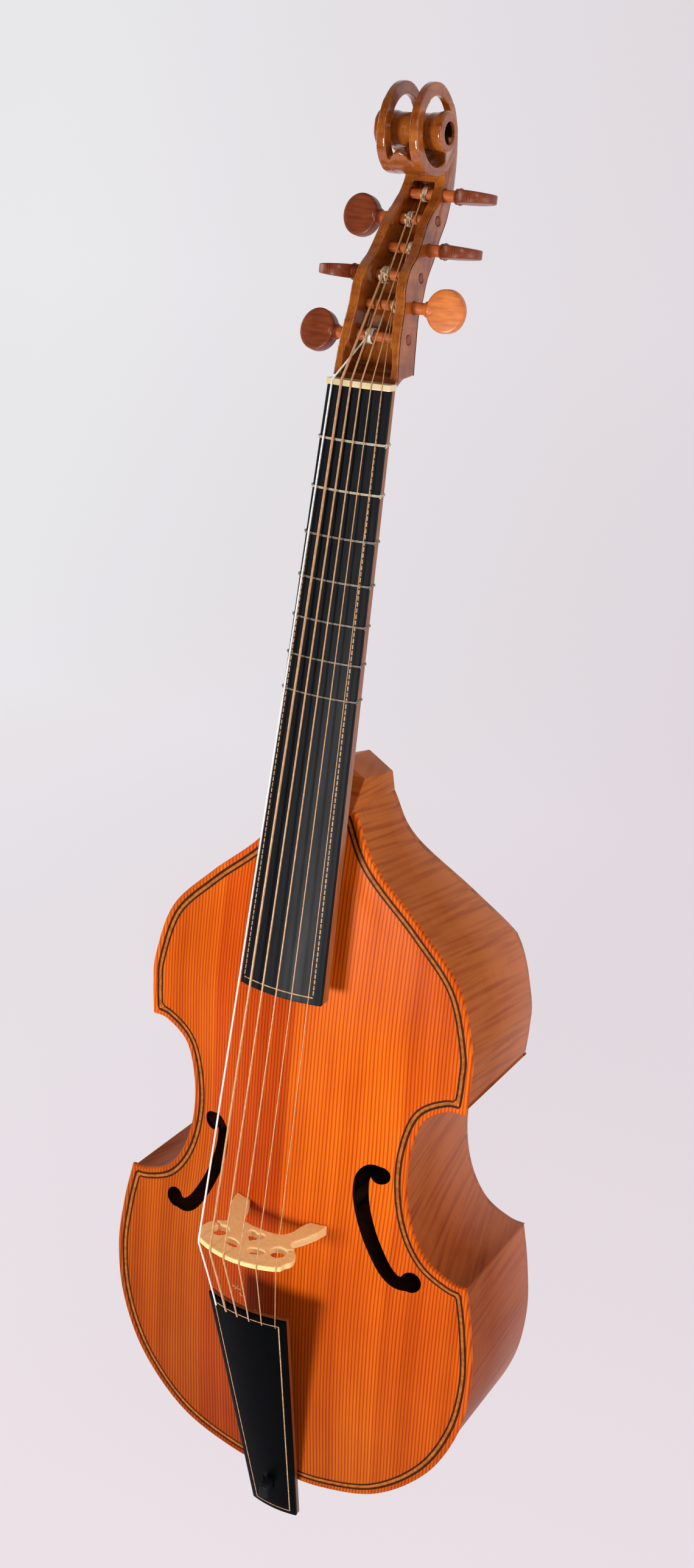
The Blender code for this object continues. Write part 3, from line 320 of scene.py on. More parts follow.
def top_y(points, depth=None):
    """Front of the soundboard at each (x, z), with its fluted edge and raised bead."""
    points = np.array(points, float)
    depth = distance_to_outline(points) if depth is None else depth
    share = np.minimum(1, abs(points[:, 0]) / np.interp(points[:, 1], *WIDTH_TABLE))
    across = 0.5 + 0.5 * np.cos(np.pi * share)
    t = np.clip(depth / EDGE_FLUTE, 0, 1)
    place, rise, width = EDGE_BEAD
    bead = rise * np.exp(-((depth - place) / width) ** 2)
    return TOP_Y - np.interp(points[:, 1], *HEIGHT_TABLE) * across * t * t * (3 - 2 * t) - bead


def back_y(z):
    """Outside face of the back."""
    return 0.0 if z <= BEND_Z else float(np.interp(z, *SLOPE_TABLE))


def along_board(pair, z):
    """A size at height z, from its values at the fingerboard's nut and at its free end."""
    return pair[0] + (pair[1] - pair[0]) * (NUT_Z - z) / (NUT_Z - BOARD_END_Z)


def board_y(x, z):
    """Playing surface of the fingerboard."""
    half = along_board(BOARD_HALF_WIDTHS, z)
    return along_board(BOARD_EDGE_Y, z) - (half * half - x * x) / (2 * BOARD_RADIUS)


def board_under_y(z):
    """Flat underside of the fingerboard."""
    return along_board(BOARD_EDGE_Y, z) + along_board(BOARD_THICKNESSES, z)


def along_tail(pair, z):
    """A size at height z, from its values at the tailpiece's top and at its lower end."""
    return pair[0] + (pair[1] - pair[0]) * (TAIL_TOP_Z - z) / (TAIL_TOP_Z - TAIL_END_Z)


def tail_y(x, z):
    """Front of the tailpiece."""
    half = along_tail(TAIL_HALF_WIDTHS, z)
    return along_tail(TAIL_EDGE_Y, z) - along_tail(TAIL_CROWNS, z) * (1 - (x / half) ** 2)


def cheek_x(z):
    """Half width of the pegbox."""
    return max(CHEEK_TIP_HALF_WIDTH, CHEEK_HALF_WIDTH - CHEEK_TAPER * (z - CHEEK_BASE_Z))


def rim_point(degrees, depth=0.0):
    """A point of the scroll's outline, depth millimetres inside it, as (y, z)."""
    radius = float(np.interp(degrees % 360, *RIM_TABLE)) - depth
    angle = math.radians(degrees)
    return (SCROLL_CENTRE[0] + radius * math.cos(angle), SCROLL_CENTRE[1] + radius * math.sin(angle))


RIM_TABLE = smooth_table(RIM_RADII)


def string_places(i):
    """Where string i passes the nut, the bridge and the tailpiece: three points."""
    share = (2 * i - 5) / 5
    nut_x, bridge_x, tail_x = (share * w for w in (NUT_HALF_SPACING, BRIDGE_HALF_SPACING, TAIL_HALF_SPACING))
    rise = STRING_DIAMETERS[i] / 2 + STRING_RISE_AT_TAIL
    crest = BRIDGE_CREST_Y + BRIDGE_CREST_DROP * (bridge_x / CREST_HALF_WIDTH) ** 2
    return (Vector((nut_x, board_y(nut_x, NUT_Z) - STRING_RISE_AT_NUT, NUT_Z)),
            Vector((bridge_x, crest, 0)),
            Vector((tail_x, tail_y(tail_x, TAIL_STRING_Z) - rise, TAIL_STRING_Z)))


# ---------- materials ----------

class Paint:
    """A material and short ways to add nodes to it."""

    def __init__(self, name, roughness, coat=0.0, metallic=0.0, specular=0.5):
        self.material = bpy.data.materials.new(name)
        self.material.use_nodes = True
        self.tree = self.material.node_tree
        self.shader = self.tree.nodes["Principled BSDF"]
        self.shader.inputs["Roughness"].default_value = roughness
        self.shader.inputs["Metallic"].default_value = metallic
        self.shader.inputs["Specular IOR Level"].default_value = specular
        self.shader.inputs["Coat Weight"].default_value = coat
        self.shader.inputs["Coat Roughness"].default_value = 0.08

    def add(self, kind, **values):
        node = self.tree.nodes.new(kind)
        for key, value in values.items():
            setattr(node, key, value)
        return node

    def link(self, source, target):
        self.tree.links.new(source, target)

    def place(self, scale, source="Object", turn=(0, 0, 0)):
        """Coordinates in metres, multiplied by scale."""
        mapping = self.add("ShaderNodeMapping")
        mapping.inputs["Scale"].default_value = scale
        mapping.inputs["Rotation"].default_value = turn
        self.link(self.add("ShaderNodeTexCoord").outputs[source], mapping.inputs["Vector"])
        return mapping.outputs["Vector"]

    def noise(self, vector, detail=2.0, roughness=0.5, distortion=0.0):
        node = self.add("ShaderNodeTexNoise")
        node.inputs["Scale"].default_value = 1.0
        node.inputs["Detail"].default_value = detail
        node.inputs["Roughness"].default_value = roughness
        node.inputs["Distortion"].default_value = distortion
        self.link(vector, node.inputs["Vector"])
        return node.outputs["Fac"]

    def wave(self, vector, distortion=0.0, detail=2.0):
        node = self.add("ShaderNodeTexWave", wave_type="BANDS", bands_direction="X", wave_profile="SIN")
        node.inputs["Scale"].default_value = 1.0
        node.inputs["Distortion"].default_value = distortion
        node.inputs["Detail"].default_value = detail
        self.link(vector, node.inputs["Vector"])
        return node.outputs["Fac"]

    def ramp(self, factor, stops, interpolation="LINEAR"):
        node = self.add("ShaderNodeValToRGB")
        node.color_ramp.interpolation = interpolation
        elements = node.color_ramp.elements
        while len(elements) < len(stops):
            elements.new(0.5)
        for element, (place, color) in zip(elements, stops):
            element.position = place
            element.color = (*color, 1)
        self.link(factor, node.inputs["Fac"])
        return node.outputs["Color"]

    def mix(self, a, b, factor=1.0, mode="MULTIPLY"):
        node = self.add("ShaderNodeMix", data_type="RGBA", blend_type=mode)
        for source, socket in ((factor, node.inputs[0]), (a, node.inputs[6]), (b, node.inputs[7])):
            if isinstance(source, (int, float)):
                socket.default_value = source
            elif isinstance(source, tuple):
                socket.default_value = (*source, 1)
            else:
                self.link(source, socket)
        return node.outputs[2]

    def color(self, source):
        self.link(source, self.shader.inputs["Base Color"])

    def rough(self, factor, low, high):
        node = self.add("ShaderNodeMapRange")
        node.inputs["To Min"].default_value = low
        node.inputs["To Max"].default_value = high
        self.link(factor, node.inputs["Value"])
        self.link(node.outputs["Result"], self.shader.inputs["Roughness"])

    def bump(self, height, distance, strength=1.0):
        node = self.add("ShaderNodeBump")
        node.inputs["Strength"].default_value = strength
        node.inputs["Distance"].default_value = distance
        self.link(height, node.inputs["Height"])
        self.link(node.outputs["Normal"], self.shader.inputs["Normal"])


def spruce_varnish():
    """Orange varnish over straight spruce grain, in staves of different tone, with painted shade darkening
    the lower bass side.
    """
    paint = Paint("spruce_varnish", 0.42, specular=0.05)
    lines = paint.wave(paint.place((103, 0.5, 0.3)), distortion=0.7)
    growth = [(0.02, (0.56, 0.074, 0.003)), (0.34, (0.80, 0.148, 0.006)), (0.64, (0.90, 0.205, 0.009))]
    grain = paint.ramp(lines, growth)
    fine = paint.noise(paint.place((1500, 20, 9)), detail=2)
    grain = paint.mix(grain, paint.ramp(fine, [(0.3, (0.86, 0.82, 0.8)), (0.65, (1, 1, 1))]))
    rays = paint.noise(paint.place((60, 10, 1.6)), detail=2)
    grain = paint.mix(grain, paint.ramp(rays, [(0.35, (0.86, 0.78, 0.7)), (0.62, (1, 1, 1))]))
    cloud = paint.noise(paint.place((11, 6, 6)), detail=3)
    grain = paint.mix(grain, paint.ramp(cloud, [(0.34, (0.84, 0.72, 0.66)), (0.62, (1.0, 1.0, 1.0))]))
    separate = paint.add("ShaderNodeSeparateXYZ")
    paint.link(paint.add("ShaderNodeTexCoord").outputs["Object"], separate.inputs["Vector"])
    across = paint.add("ShaderNodeMapRange")
    across.inputs["From Min"].default_value = -0.18
    across.inputs["From Max"].default_value = 0.18
    paint.link(separate.outputs["X"], across.inputs["Value"])
    staves = [(0.0, (0.98, 0.94, 0.95)), (0.13, (0.90, 0.86, 0.95)), (0.27, (0.80, 0.58, 0.75)),
              (0.5, (0.97, 0.92, 0.95)), (0.765, (0.90, 0.78, 0.9)), (0.9, (0.9, 0.82, 0.9))]
    grain = paint.mix(grain, paint.ramp(across.outputs["Result"], staves, "CONSTANT"))
    # Painted shade: the colour gets darker towards the lower bass side, where less light falls.
    upward = paint.add("ShaderNodeMath", operation="ADD")
    paint.link(separate.outputs["X"], upward.inputs[0])
    paint.link(separate.outputs["Z"], upward.inputs[1])
    painted_falloff = paint.add("ShaderNodeMapRange")
    painted_falloff.inputs["From Min"].default_value = -0.28
    painted_falloff.inputs["From Max"].default_value = 0.22
    paint.link(upward.outputs["Value"], painted_falloff.inputs["Value"])
    tones = [(0.0, (0.52, 0.50, 0.8)), (0.3, (0.70, 0.74, 0.95)), (0.6, (0.84, 0.80, 0.9)), (1.0, (1, 1, 1))]
    grain = paint.mix(grain, paint.ramp(painted_falloff.outputs["Result"], tones))
    paint.color(grain)
    paint.rough(cloud, 0.34, 0.44)
    paint.bump(lines, 0.00004, 0.3)
    return paint.material


def flamed_maple(name, light, dark, flames):
    """Brown varnish over maple with a fine flame, with a painted pinkish sheen near the back edge and painted
    shade low down.

    UV runs along and across a strip in metres.
    """
    paint = Paint(name, 0.4, coat=0.07, specular=0.03)
    flame = paint.noise(paint.place((flames, 11, 11), "UV"), 1.5, roughness=0.5, distortion=0.2)
    grain = paint.noise(paint.place((30, 900, 900), "UV"), detail=3, roughness=0.6)
    base = paint.ramp(flame, [(0.30, dark), (0.56, light)])
    base = paint.mix(base, paint.ramp(grain, [(0.3, (0.90, 0.87, 0.85)), (0.6, (1, 1, 1))]))
    cloud = paint.noise(paint.place((9, 9, 9), "Object"), detail=3)
    base = paint.mix(base, paint.ramp(cloud, [(0.3, (0.76, 0.70, 0.66)), (0.7, (1, 1, 1))]))
    separate = paint.add("ShaderNodeSeparateXYZ")
    paint.link(paint.add("ShaderNodeTexCoord").outputs["Object"], separate.inputs["Vector"])
    # Painted shade: the colour is darker low down, where the lower ribs get less light.
    height = paint.add("ShaderNodeMapRange")
    height.inputs["From Min"].default_value = -0.1
    height.inputs["From Max"].default_value = 0.2
    paint.link(separate.outputs["Z"], height.inputs["Value"])
    darker = [(0.0, (0.70, 0.52, 0.42)), (1.0, (1, 1, 1))]
    base = paint.mix(base, paint.ramp(height.outputs["Result"], darker))
    # Painted sheen: a pale pinkish colour is added towards the back edge, standing in for the grazing
    # reflection of the pale sweep.
    depth = paint.add("ShaderNodeMapRange")
    depth.inputs["From Min"].default_value = -0.1
    depth.inputs["From Max"].default_value = 0.0
    paint.link(separate.outputs["Y"], depth.inputs["Value"])
    painted_sheen = paint.ramp(depth.outputs["Result"], [(0.25, (0, 0, 0)), (1.0, (0.13, 0.085, 0.075))])
    base = paint.mix(base, painted_sheen, mode="ADD")
    paint.color(base)
    paint.rough(cloud, 0.34, 0.46)
    paint.bump(flame, 0.00006, 0.3)
    return paint.material


def carved_maple(name, light, dark, roughness=0.24, coat=0.5):
    """Glossy varnish on carved maple, darker where handling and polish left it."""
    paint = Paint(name, roughness, coat=coat, specular=0.4)
    figure = paint.noise(paint.place((26, 26, 110)), detail=2, distortion=0.6)
    pores = paint.noise(paint.place((900, 900, 60)), detail=2)
    base = paint.ramp(figure, [(0.32, dark), (0.66, light)])
    base = paint.mix(base, paint.ramp(pores, [(0.34, (0.7, 0.62, 0.55)), (0.52, (1, 1, 1))]))
    cloud = paint.noise(paint.place((34, 34, 34)), detail=3)
    base = paint.mix(base, paint.ramp(cloud, [(0.3, (0.66, 0.56, 0.48)), (0.66, (1, 1, 1))]))
    paint.color(base)
    paint.rough(cloud, roughness - 0.04, roughness + 0.1)
    paint.bump(figure, 0.0001, 0.3)
    return paint.material


def bare_wood(name, light, dark, roughness, scale=(700, 700, 30), coat=0.0):
    """Plain wood with a fine grain along the direction of the smallest scale."""
    paint = Paint(name, roughness, coat=coat)
    grain = paint.noise(paint.place(scale), detail=3, roughness=0.6)
    paint.color(paint.ramp(grain, [(0.32, dark), (0.66, light)]))
    paint.rough(grain, roughness - 0.08, roughness + 0.08)
    paint.bump(grain, 0.00008, 0.5)
    return paint.material


def ebony(name, roughness, specular, color):
    """Black wood with a satin, faintly blue polish and fine scratches along its grain."""
    paint = Paint(name, roughness, specular=specular)
    grain = paint.noise(paint.place((900, 300, 16)), detail=3)
    darker = tuple(0.5 * c for c in color)
    paint.color(paint.ramp(grain, [(0.35, darker), (0.7, color)]))
    rub = paint.noise(paint.place((50, 50, 12)), detail=4)
    paint.rough(rub, roughness - 0.08, roughness + 0.12)
    paint.bump(grain, 0.00003, 0.4)
    return paint.material


def bone():
    """Polished yellowish bone."""
    paint = Paint("nut_bone_polished", 0.25, coat=0.3)
    paint.shader.inputs["Subsurface Weight"].default_value = 0.15
    paint.shader.inputs["Subsurface Scale"].default_value = 0.002
    cloud = paint.noise(paint.place((60, 60, 60)), detail=3)
    paint.color(paint.ramp(cloud, [(0.3, (0.74, 0.58, 0.32)), (0.7, (0.86, 0.74, 0.48))]))
    paint.bump(cloud, 0.0001, 0.3)
    return paint.material


def gut(name="gut_cord", light=(0.62, 0.36, 0.17), dark=(0.42, 0.21, 0.085)):
    """Twisted gut, slightly translucent."""
    paint = Paint(name, 0.34, coat=0.2)
    paint.shader.inputs["Subsurface Weight"].default_value = 0.2
    paint.shader.inputs["Subsurface Scale"].default_value = 0.001
    twist = paint.noise(paint.place((900, 900, 260)), detail=2)
    paint.color(paint.ramp(twist, [(0.3, dark), (0.7, light)]))
    paint.bump(twist, 0.0001, 0.5)
    return paint.material


def wound_silver():
    """Pale metal wire, wound closely."""
    paint = Paint("wound_silver", 0.34, metallic=0.1)
    turns = paint.wave(paint.place((0, 0, 900), turn=(0, math.pi / 2, 0)))
    lay = paint.noise(paint.place((60, 60, 900)), detail=1)
    paint.color(paint.ramp(lay, [(0.35, (0.84, 0.84, 0.82)), (0.65, (1.0, 1.0, 0.98))]))
    paint.bump(turns, 0.0001, 0.6)
    return paint.material


def fruitwood(name, light, dark):
    """Reddish turned pegs, with the darker end grain and polish of much handling."""
    paint = Paint(name, 0.36, coat=0.15, specular=0.35)
    grain = paint.noise(paint.place((70, 520, 520), "Object"), detail=3, distortion=0.3)
    base = paint.ramp(grain, [(0.32, dark), (0.66, light)])
    cloud = paint.noise(paint.place((60, 60, 60), "Object"), detail=2)
    base = paint.mix(base, paint.ramp(cloud, [(0.3, (0.80, 0.74, 0.70)), (0.66, (1, 1, 1))]))
    paint.color(base)
    paint.rough(cloud, 0.36, 0.46)
    paint.bump(grain, 0.00004, 0.3)
    return paint.material


def plain_line(name, color, roughness=0.5):
    """A thin inlaid line, with the small uneven patches of dyed or bare wood."""
    paint = Paint(name, roughness, specular=0.08)
    patches = paint.noise(paint.place((300, 300, 300)), detail=2)
    darker = tuple(0.6 * c for c in color)
    paint.color(paint.ramp(patches, [(0.35, darker), (0.6, color)]))
    return paint.material


# ---------- making objects ----------

def add_object(name, bm, material=None, smooth=35, origin=(0, 0, 0)):
    """The bmesh, in millimetres, as an object in metres whose origin is at the given point."""
    origin = Vector(origin)
    bmesh.ops.recalc_face_normals(bm, faces=bm.faces)
    for vertex in bm.verts:
        vertex.co = (vertex.co - origin) * MM
    mesh = bpy.data.meshes.new(name)
    bm.to_mesh(mesh)
    bm.free()
    obj = bpy.data.objects.new(name, mesh)
    obj.location = origin * MM
    bpy.context.scene.collection.objects.link(obj)
    if material:
        mesh.materials.append(material)
    shade(mesh, smooth)
    return obj


def shade(mesh, smooth):
    """Smooth shading, with edges sharper than that many degrees kept."""
    mesh.shade_smooth()
    mesh.set_sharp_from_angle(angle=math.radians(smooth))


def combine(obj, other, operation):
    """Adds a boolean with the other object, which settle() removes later."""
    modifier = obj.modifiers.new(other.name, "BOOLEAN")
    modifier.operation = operation
    modifier.object = other
    other.hide_render = True


def settle(obj, smooth=None):
    """Turns the object's modifiers into its mesh, and removes the objects that they used."""
    graph = bpy.context.evaluated_depsgraph_get()
    mesh = bpy.data.meshes.new_from_object(obj.evaluated_get(graph))
    used = [m.object for m in obj.modifiers if m.type == "BOOLEAN"]
    obj.modifiers.clear()
    obj.data = mesh
    for other in used:
        bpy.data.objects.remove(other)
    if smooth is not None:
        shade(mesh, smooth)
    return obj


def soften(obj, voxel, rounds):
    """Carved look: an even skin of small faces whose edges are rounded off."""
    remesh = obj.modifiers.new("skin", "REMESH")
    remesh.mode = "VOXEL"
    remesh.voxel_size = voxel * MM
    polish = obj.modifiers.new("polish", "SMOOTH")
    polish.factor = 0.5
    polish.iterations = rounds


def bevel(obj, width, segments=3, angle=35):
    """Rounds the object's sharp edges."""
    modifier = obj.modifiers.new("edges", "BEVEL")
    modifier.width = width * MM
    modifier.segments = segments
    modifier.limit_method = "ANGLE"
    modifier.angle_limit = math.radians(angle)
    return obj


def place(obj, nodes, slot, body=ROOT):
    """The piece rides on a body and stands for those CAD nodes, which it hides; slot is not used."""
    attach(obj, body)
    if nodes:
        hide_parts(*nodes)
    return obj


def loft(rings, closed=False, around=True):
    """A solid through rings of the same number of points; closed joins the last ring to the first."""
    bm = bmesh.new()
    loops = [[bm.verts.new(p) for p in ring] for ring in rings]
    pairs = list(zip(loops, loops[1:])) + ([(loops[-1], loops[0])] if closed else [])
    for a, b in pairs:
        for i in range(len(a) if around else len(a) - 1):
            j = (i + 1) % len(a)
            bm.faces.new((a[i], a[j], b[j], b[i]))
    if not closed and around:
        bm.faces.new(loops[0])
        bm.faces.new(reversed(loops[-1]))
    return bm


def extrude_x(outline, low, high):
    """A prism along X from an outline of (y, z)."""
    return loft([[(x, y, z) for y, z in outline] for x in (low, high)])


def extrude_y(outline, low, high):
    """A prism along Y from an outline of (x, z)."""
    return loft([[(x, y, z) for x, z in outline] for y in (low, high)])


def circle(centre, radius, sides):
    """Points round a circle."""
    return [(centre[0] + radius * math.cos(2 * math.pi * i / sides),
             centre[1] + radius * math.sin(2 * math.pi * i / sides)) for i in range(sides)]


def turned(profile, centre, sides):
    """A solid of revolution along X: profile holds (x, radius), centre is the axis's (y, z)."""
    return loft([[(x, y, z) for y, z in circle(centre, radius, sides)] for x, radius in profile])


def tube(bm, points, radius, sides=10, closed=False):
    """Adds a round cord through the points to the bmesh."""
    points = [Vector(p) for p in points]
    count = len(points)
    rings = []
    side = None
    for i, point in enumerate(points):
        before = points[i - 1] if closed or i else point
        after = points[(i + 1) % count] if closed or i < count - 1 else point
        way = (after - before).normalized()
        if side is None:
            side = way.orthogonal().normalized()
        side = (side - way * side.dot(way)).normalized()
        other = way.cross(side)
        size = radius(i / (count - 1)) if callable(radius) else radius
        rings.append([bm.verts.new(point + (side * math.cos(a) + other * math.sin(a)) * size)
                      for a in (2 * math.pi * k / sides for k in range(sides))])
    pairs = list(zip(rings, rings[1:]))
    if closed:
        last, first = rings[-1], rings[0]
        gap = min(range(sides), key=lambda k: (first[k].co - last[0].co).length)
        pairs.append((last, first[gap:] + first[:gap]))
    for a, b in pairs:
        for k in range(sides):
            bm.faces.new((a[k], a[(k + 1) % sides], b[(k + 1) % sides], b[k]))
    if not closed:
        bm.faces.new(rings[0])
        bm.faces.new(reversed(rings[-1]))


# ---------- the body ----------

def hole_loops(side):
    """The stem and the two round ends of one sound hole, as closed (x, z) loops."""
    drop = BASS_HOLE_DROP if side < 0 else 0
    line = [(x, z - drop, half) for x, z, half in spline(HOLE_STEM, 6)]
    left, right = [], []
    for i, (x, z, half) in enumerate(line):
        a, b = line[max(0, i - 1)], line[min(len(line) - 1, i + 1)]
        way = Vector((b[0] - a[0], b[1] - a[1])).normalized()
        left.append((side * (x - way.y * half), z + way.x * half))
        right.append((side * (x + way.y * half), z - way.x * half))
    return [left + right[::-1]] + [circle((side * x, z - drop), r, 36) for x, z, r in HOLE_EYES]


def inside(points, loop):
    """Which of the points lie inside the closed loop."""
    points = np.array(points, float)
    found = np.zeros(len(points), bool)
    for (x0, z0), (x1, z1) in zip(loop, loop[1:] + loop[:1]):
        if z0 == z1:
            continue
        crosses = (z0 > points[:, 1]) != (z1 > points[:, 1])
        found ^= crosses & (points[:, 0] < (x1 - x0) * (points[:, 1] - z0) / (z1 - z0) + x0)
    return found


def make_soundboard(material, hole_material):
    """The arched plate, with a rolled edge and the sound holes cut through."""
    rim = 2.4
    outer = whole_loop(inset(OUTLINE, rim))
    loops = [outer] + [whole_loop(clean_insets(OUTLINE, [d])[0]) for d in (4, 8, 13)]
    holes = hole_loops(1) + hole_loops(-1)
    grid = [(GRID_PITCH * (i + 0.5 * (j % 2)), GRID_PITCH * j * 0.87)
            for i in range(-36, 36) for j in range(-61, 81)]
    grid = [p for p, deep in zip(grid, distance_to_outline(grid)) if deep > GRID_MARGIN]
    keep = inside(grid, outer)
    for loop in holes:
        keep &= ~inside(grid, loop)
    grid = [p for p, good in zip(grid, keep) if good]
    points, edges = [], []
    for loop in loops + holes:
        start = len(points)
        points += [Vector(p) for p in loop]
        edges += [(start + k, start + (k + 1) % len(loop)) for k in range(len(loop))]
    points += [Vector(p) for p in grid]
    flat, _, faces, source, _, _ = delaunay_2d_cdt(points, edges, [], 0, 1e-4)
    centres = [sum((flat[k] for k in face), Vector((0, 0))) / len(face) for face in faces]
    good = inside(centres, outer)
    for loop in holes:
        good &= ~inside(centres, loop)
    faces = [face for face, fine in zip(faces, good) if fine]
    used = sorted({k for face in faces for k in face})
    at = [(flat[k].x, flat[k].y) for k in used]
    heights = top_y(at)
    bm = bmesh.new()
    front = {k: bm.verts.new((x, y, z)) for k, (x, z), y in zip(used, at, heights)}
    plain = top_y(at, np.maximum(distance_to_outline(at), 6))
    rear = {k: bm.verts.new((x, y + TOP_THICKNESS, z)) for k, (x, z), y in zip(used, at, plain)}
    count = {}
    for face in faces:
        bm.faces.new([front[k] for k in face])
        bm.faces.new([rear[k] for k in reversed(face)])
        for a, b in zip(face, face[1:] + face[:1]):
            count.setdefault(frozenset((a, b)), []).append((a, b))
    rim_index = {}
    for k in used:
        if any(s < len(outer) for s in source[k]):
            rim_index[k] = min(s for s in source[k] if s < len(outer))
    for pair in count.values():
        if len(pair) > 1:
            continue
        a, b = pair[0]
        if a in rim_index and b in rim_index:
            continue
        bm.faces.new((front[b], front[a], rear[a], rear[b])).material_index = 1
    by_place = {s: k for k, s in rim_index.items()}
    rings = [[front[by_place[s]] for s in range(len(outer))]]
    for depth, fall in EDGE_ROLL:
        rings.append([bm.verts.new((x, TOP_Y + fall, z)) for x, z in whole_loop(inset(OUTLINE, depth))])
    rings.append([rear[by_place[s]] for s in range(len(outer))])
    for a, b in zip(rings, rings[1:]):
        for i in range(len(a)):
            j = (i + 1) % len(a)
            bm.faces.new((a[i], a[j], b[j], b[i]))
    plate = add_object("soundboard_plate", bm, material, smooth=42)
    plate.data.materials.append(hole_material)
    return place(plate, ["soundboard"], "top_spruce")


def make_purfling(dark, pale):
    """Two dark inlaid lines that follow the edge, with a browner band between them."""
    (outer_near, outer_far), (inner_near, inner_far) = PURFLING
    line_lift, band_lift = PURFLING_LIFTS
    bands = [("purfling_outer", outer_near, outer_far, line_lift, dark),
             ("purfling_inner", inner_near, inner_far, line_lift, dark),
             ("purfling_band", outer_far - 0.1, inner_near + 0.1, band_lift, pale)]
    for name, near, far, lift, material in bands:
        depths = [near + (far - near) * k / 3 for k in range(4)]
        lines = [whole_loop(line) for line in clean_insets(OUTLINE, depths)]
        heights = [top_y(line) for line in lines]
        rings = []
        for i in range(len(lines[0])):
            ring = [(line[i][0], y[i] - lift, line[i][1]) for line, y in zip(lines, heights)]
            low = [(line[i][0], y[i] + PURFLING_SINK, line[i][1]) for line, y in zip(lines, heights)]
            rings.append(ring + low[::-1])
        place(add_object(name, loft(rings), material, smooth=40), [], "top_spruce")


def with_strip_uv(bm, length_of, depth_of):
    """UVs in metres: along a strip and across it."""
    layer = bm.loops.layers.uv.new("strip")
    for face in bm.faces:
        for corner in face.loops:
            corner[layer].uv = (length_of(corner.vert) * MM, depth_of(corner.vert) * MM)
    return bm


def make_ribs(material):
    """Bent sides, each a thin strip along the outline."""
    outside, inner = rib_line(0), rib_line(RIB_THICKNESS)
    run = [0.0]
    for a, b in zip(outside, outside[1:]):
        run.append(run[-1] + (b - a).length)
    stretches = {"upper": (0, UPPER_CORNER), "waist": (UPPER_CORNER, LOWER_CORNER),
                 "lower": (LOWER_CORNER, BOTTOM)}
    front = TOP_Y + TOP_THICKNESS - SKIN_GAP
    for stretch, (first, last) in stretches.items():
        for hand, side in (("treble", 1), ("bass", -1)):
            bm = bmesh.new()
            lengths = {}
            rings = []
            for i in range(first, last + 1):
                (x0, z0), (x1, z1) = outside[i], inner[i]
                x1, z1 = (x1, z1) if i < BOTTOM else (0, z1)
                rear = back_y(z0) - (BACK_THICKNESS if z0 <= BEND_Z else SLOPED_BACK_THICKNESS) - 0.1
                ring = [(side * x0, front, z0), (side * x1, front, z1),
                        (side * x1, rear, z1), (side * x0, rear, z0)]
                made = [bm.verts.new(p) for p in ring]
                rings.append(made)
                for vertex in made:
                    lengths[vertex] = run[i]
            for a, b in zip(rings, rings[1:]):
                for k in range(4):
                    bm.faces.new((a[k], a[(k + 1) % 4], b[(k + 1) % 4], b[k]))
            bm.faces.new(rings[0])
            bm.faces.new(rings[-1][::-1])
            with_strip_uv(bm, lambda v: lengths[v] + FLAME_SLANTS[stretch] * v.co.y, lambda v: v.co.y)
            piece = add_object(f"rib_{stretch}_{hand}_bent", bm, material, smooth=30)
            place(piece, [f"rib_{stretch}_{hand}"], "rib_maple")


def flat_plate(outline, face_y, rolled):
    """A flat plate with rolled edges: outline maps an inset distance to a loop of (x, z)."""
    bm = bmesh.new()
    rings = [[bm.verts.new((x, face_y(z) - fall, z)) for x, z in outline(depth)] for depth, fall in rolled]
    for a, b in zip(rings, rings[1:]):
        for i in range(len(a)):
            j = (i + 1) % len(a)
            bm.faces.new((a[i], a[j], b[j], b[i]))
    for ring in (rings[0], rings[-1]):
        edges = [bm.edges.get((ring[i], ring[(i + 1) % len(ring)])) for i in range(len(ring))]
        bmesh.ops.triangle_fill(bm, edges=edges, use_beauty=True)
    return bm


def make_back(material):
    """The flat lower back and the upper back, which is bent forward towards the neck."""
    def lower(depth):
        outline = [tuple(p) for p in rib_line(depth)]
        edge = between([(z, x) for x, z in outline[:UPPER_CORNER]], BEND_Z)
        return whole_loop([(edge, BEND_Z - 0.05)] + [(x, z) for x, z in outline if z < BEND_Z - 2])

    def upper(depth):
        outline = [tuple(p) for p in rib_line(depth)]
        edge = between([(z, x) for x, z in outline[:UPPER_CORNER]], BEND_Z)
        half = [(x, z) for x, z in outline if z > BEND_Z + 2] + [(edge, BEND_Z + 0.05)]
        return half + [(-x, z) for x, z in reversed(half)]

    bm = flat_plate(lower, back_y, BACK_ROLL)
    with_strip_uv(bm, lambda v: v.co.z + BACK_FLAME_SLANT * abs(v.co.x), lambda v: v.co.x)
    place(add_object("back_lower_plate", bm, material, smooth=30), ["back_lower"], "back_maple")
    rings = []
    whole = upper(0.0)
    for x, z in whole[:len(whole) // 2]:
        outer = back_y(z)
        inner = outer - SLOPED_BACK_THICKNESS
        across = [x * (2 * k / 12 - 1) for k in range(13)]
        rings.append([(v, outer, z) for v in across] + [(v, inner, z) for v in reversed(across)])
    bm = loft(rings)
    with_strip_uv(bm, lambda v: v.co.z + BACK_FLAME_SLANT * abs(v.co.x), lambda v: v.co.x)
    place(add_object("back_upper_plate", bm, material, smooth=20), ["back_upper"], "back_maple")


# ---------- the neck and the head ----------

def neck_section(z, half, depth, power, steps=28):
    """Flat under the fingerboard and rounded behind."""
    front = board_under_y(z) + 0.05
    ring = [(-half, front, z), (half, front, z)]
    for i in range(1, steps):
        a = math.pi * i / steps
        across = math.copysign(abs(math.cos(a)) ** (2 / power), math.cos(a))
        ring.append((half * across, front + 0.5 + depth * math.sin(a) ** (2 / power), z))
    return ring


def plain_neck_section(z, steps=28):
    """The neck's section where it has no flare."""
    half = along_board(BOARD_HALF_WIDTHS, z) - NECK_INSET
    return neck_section(z, half, along_board(NECK_DEPTHS, z), NECK_ROUNDNESS, steps)


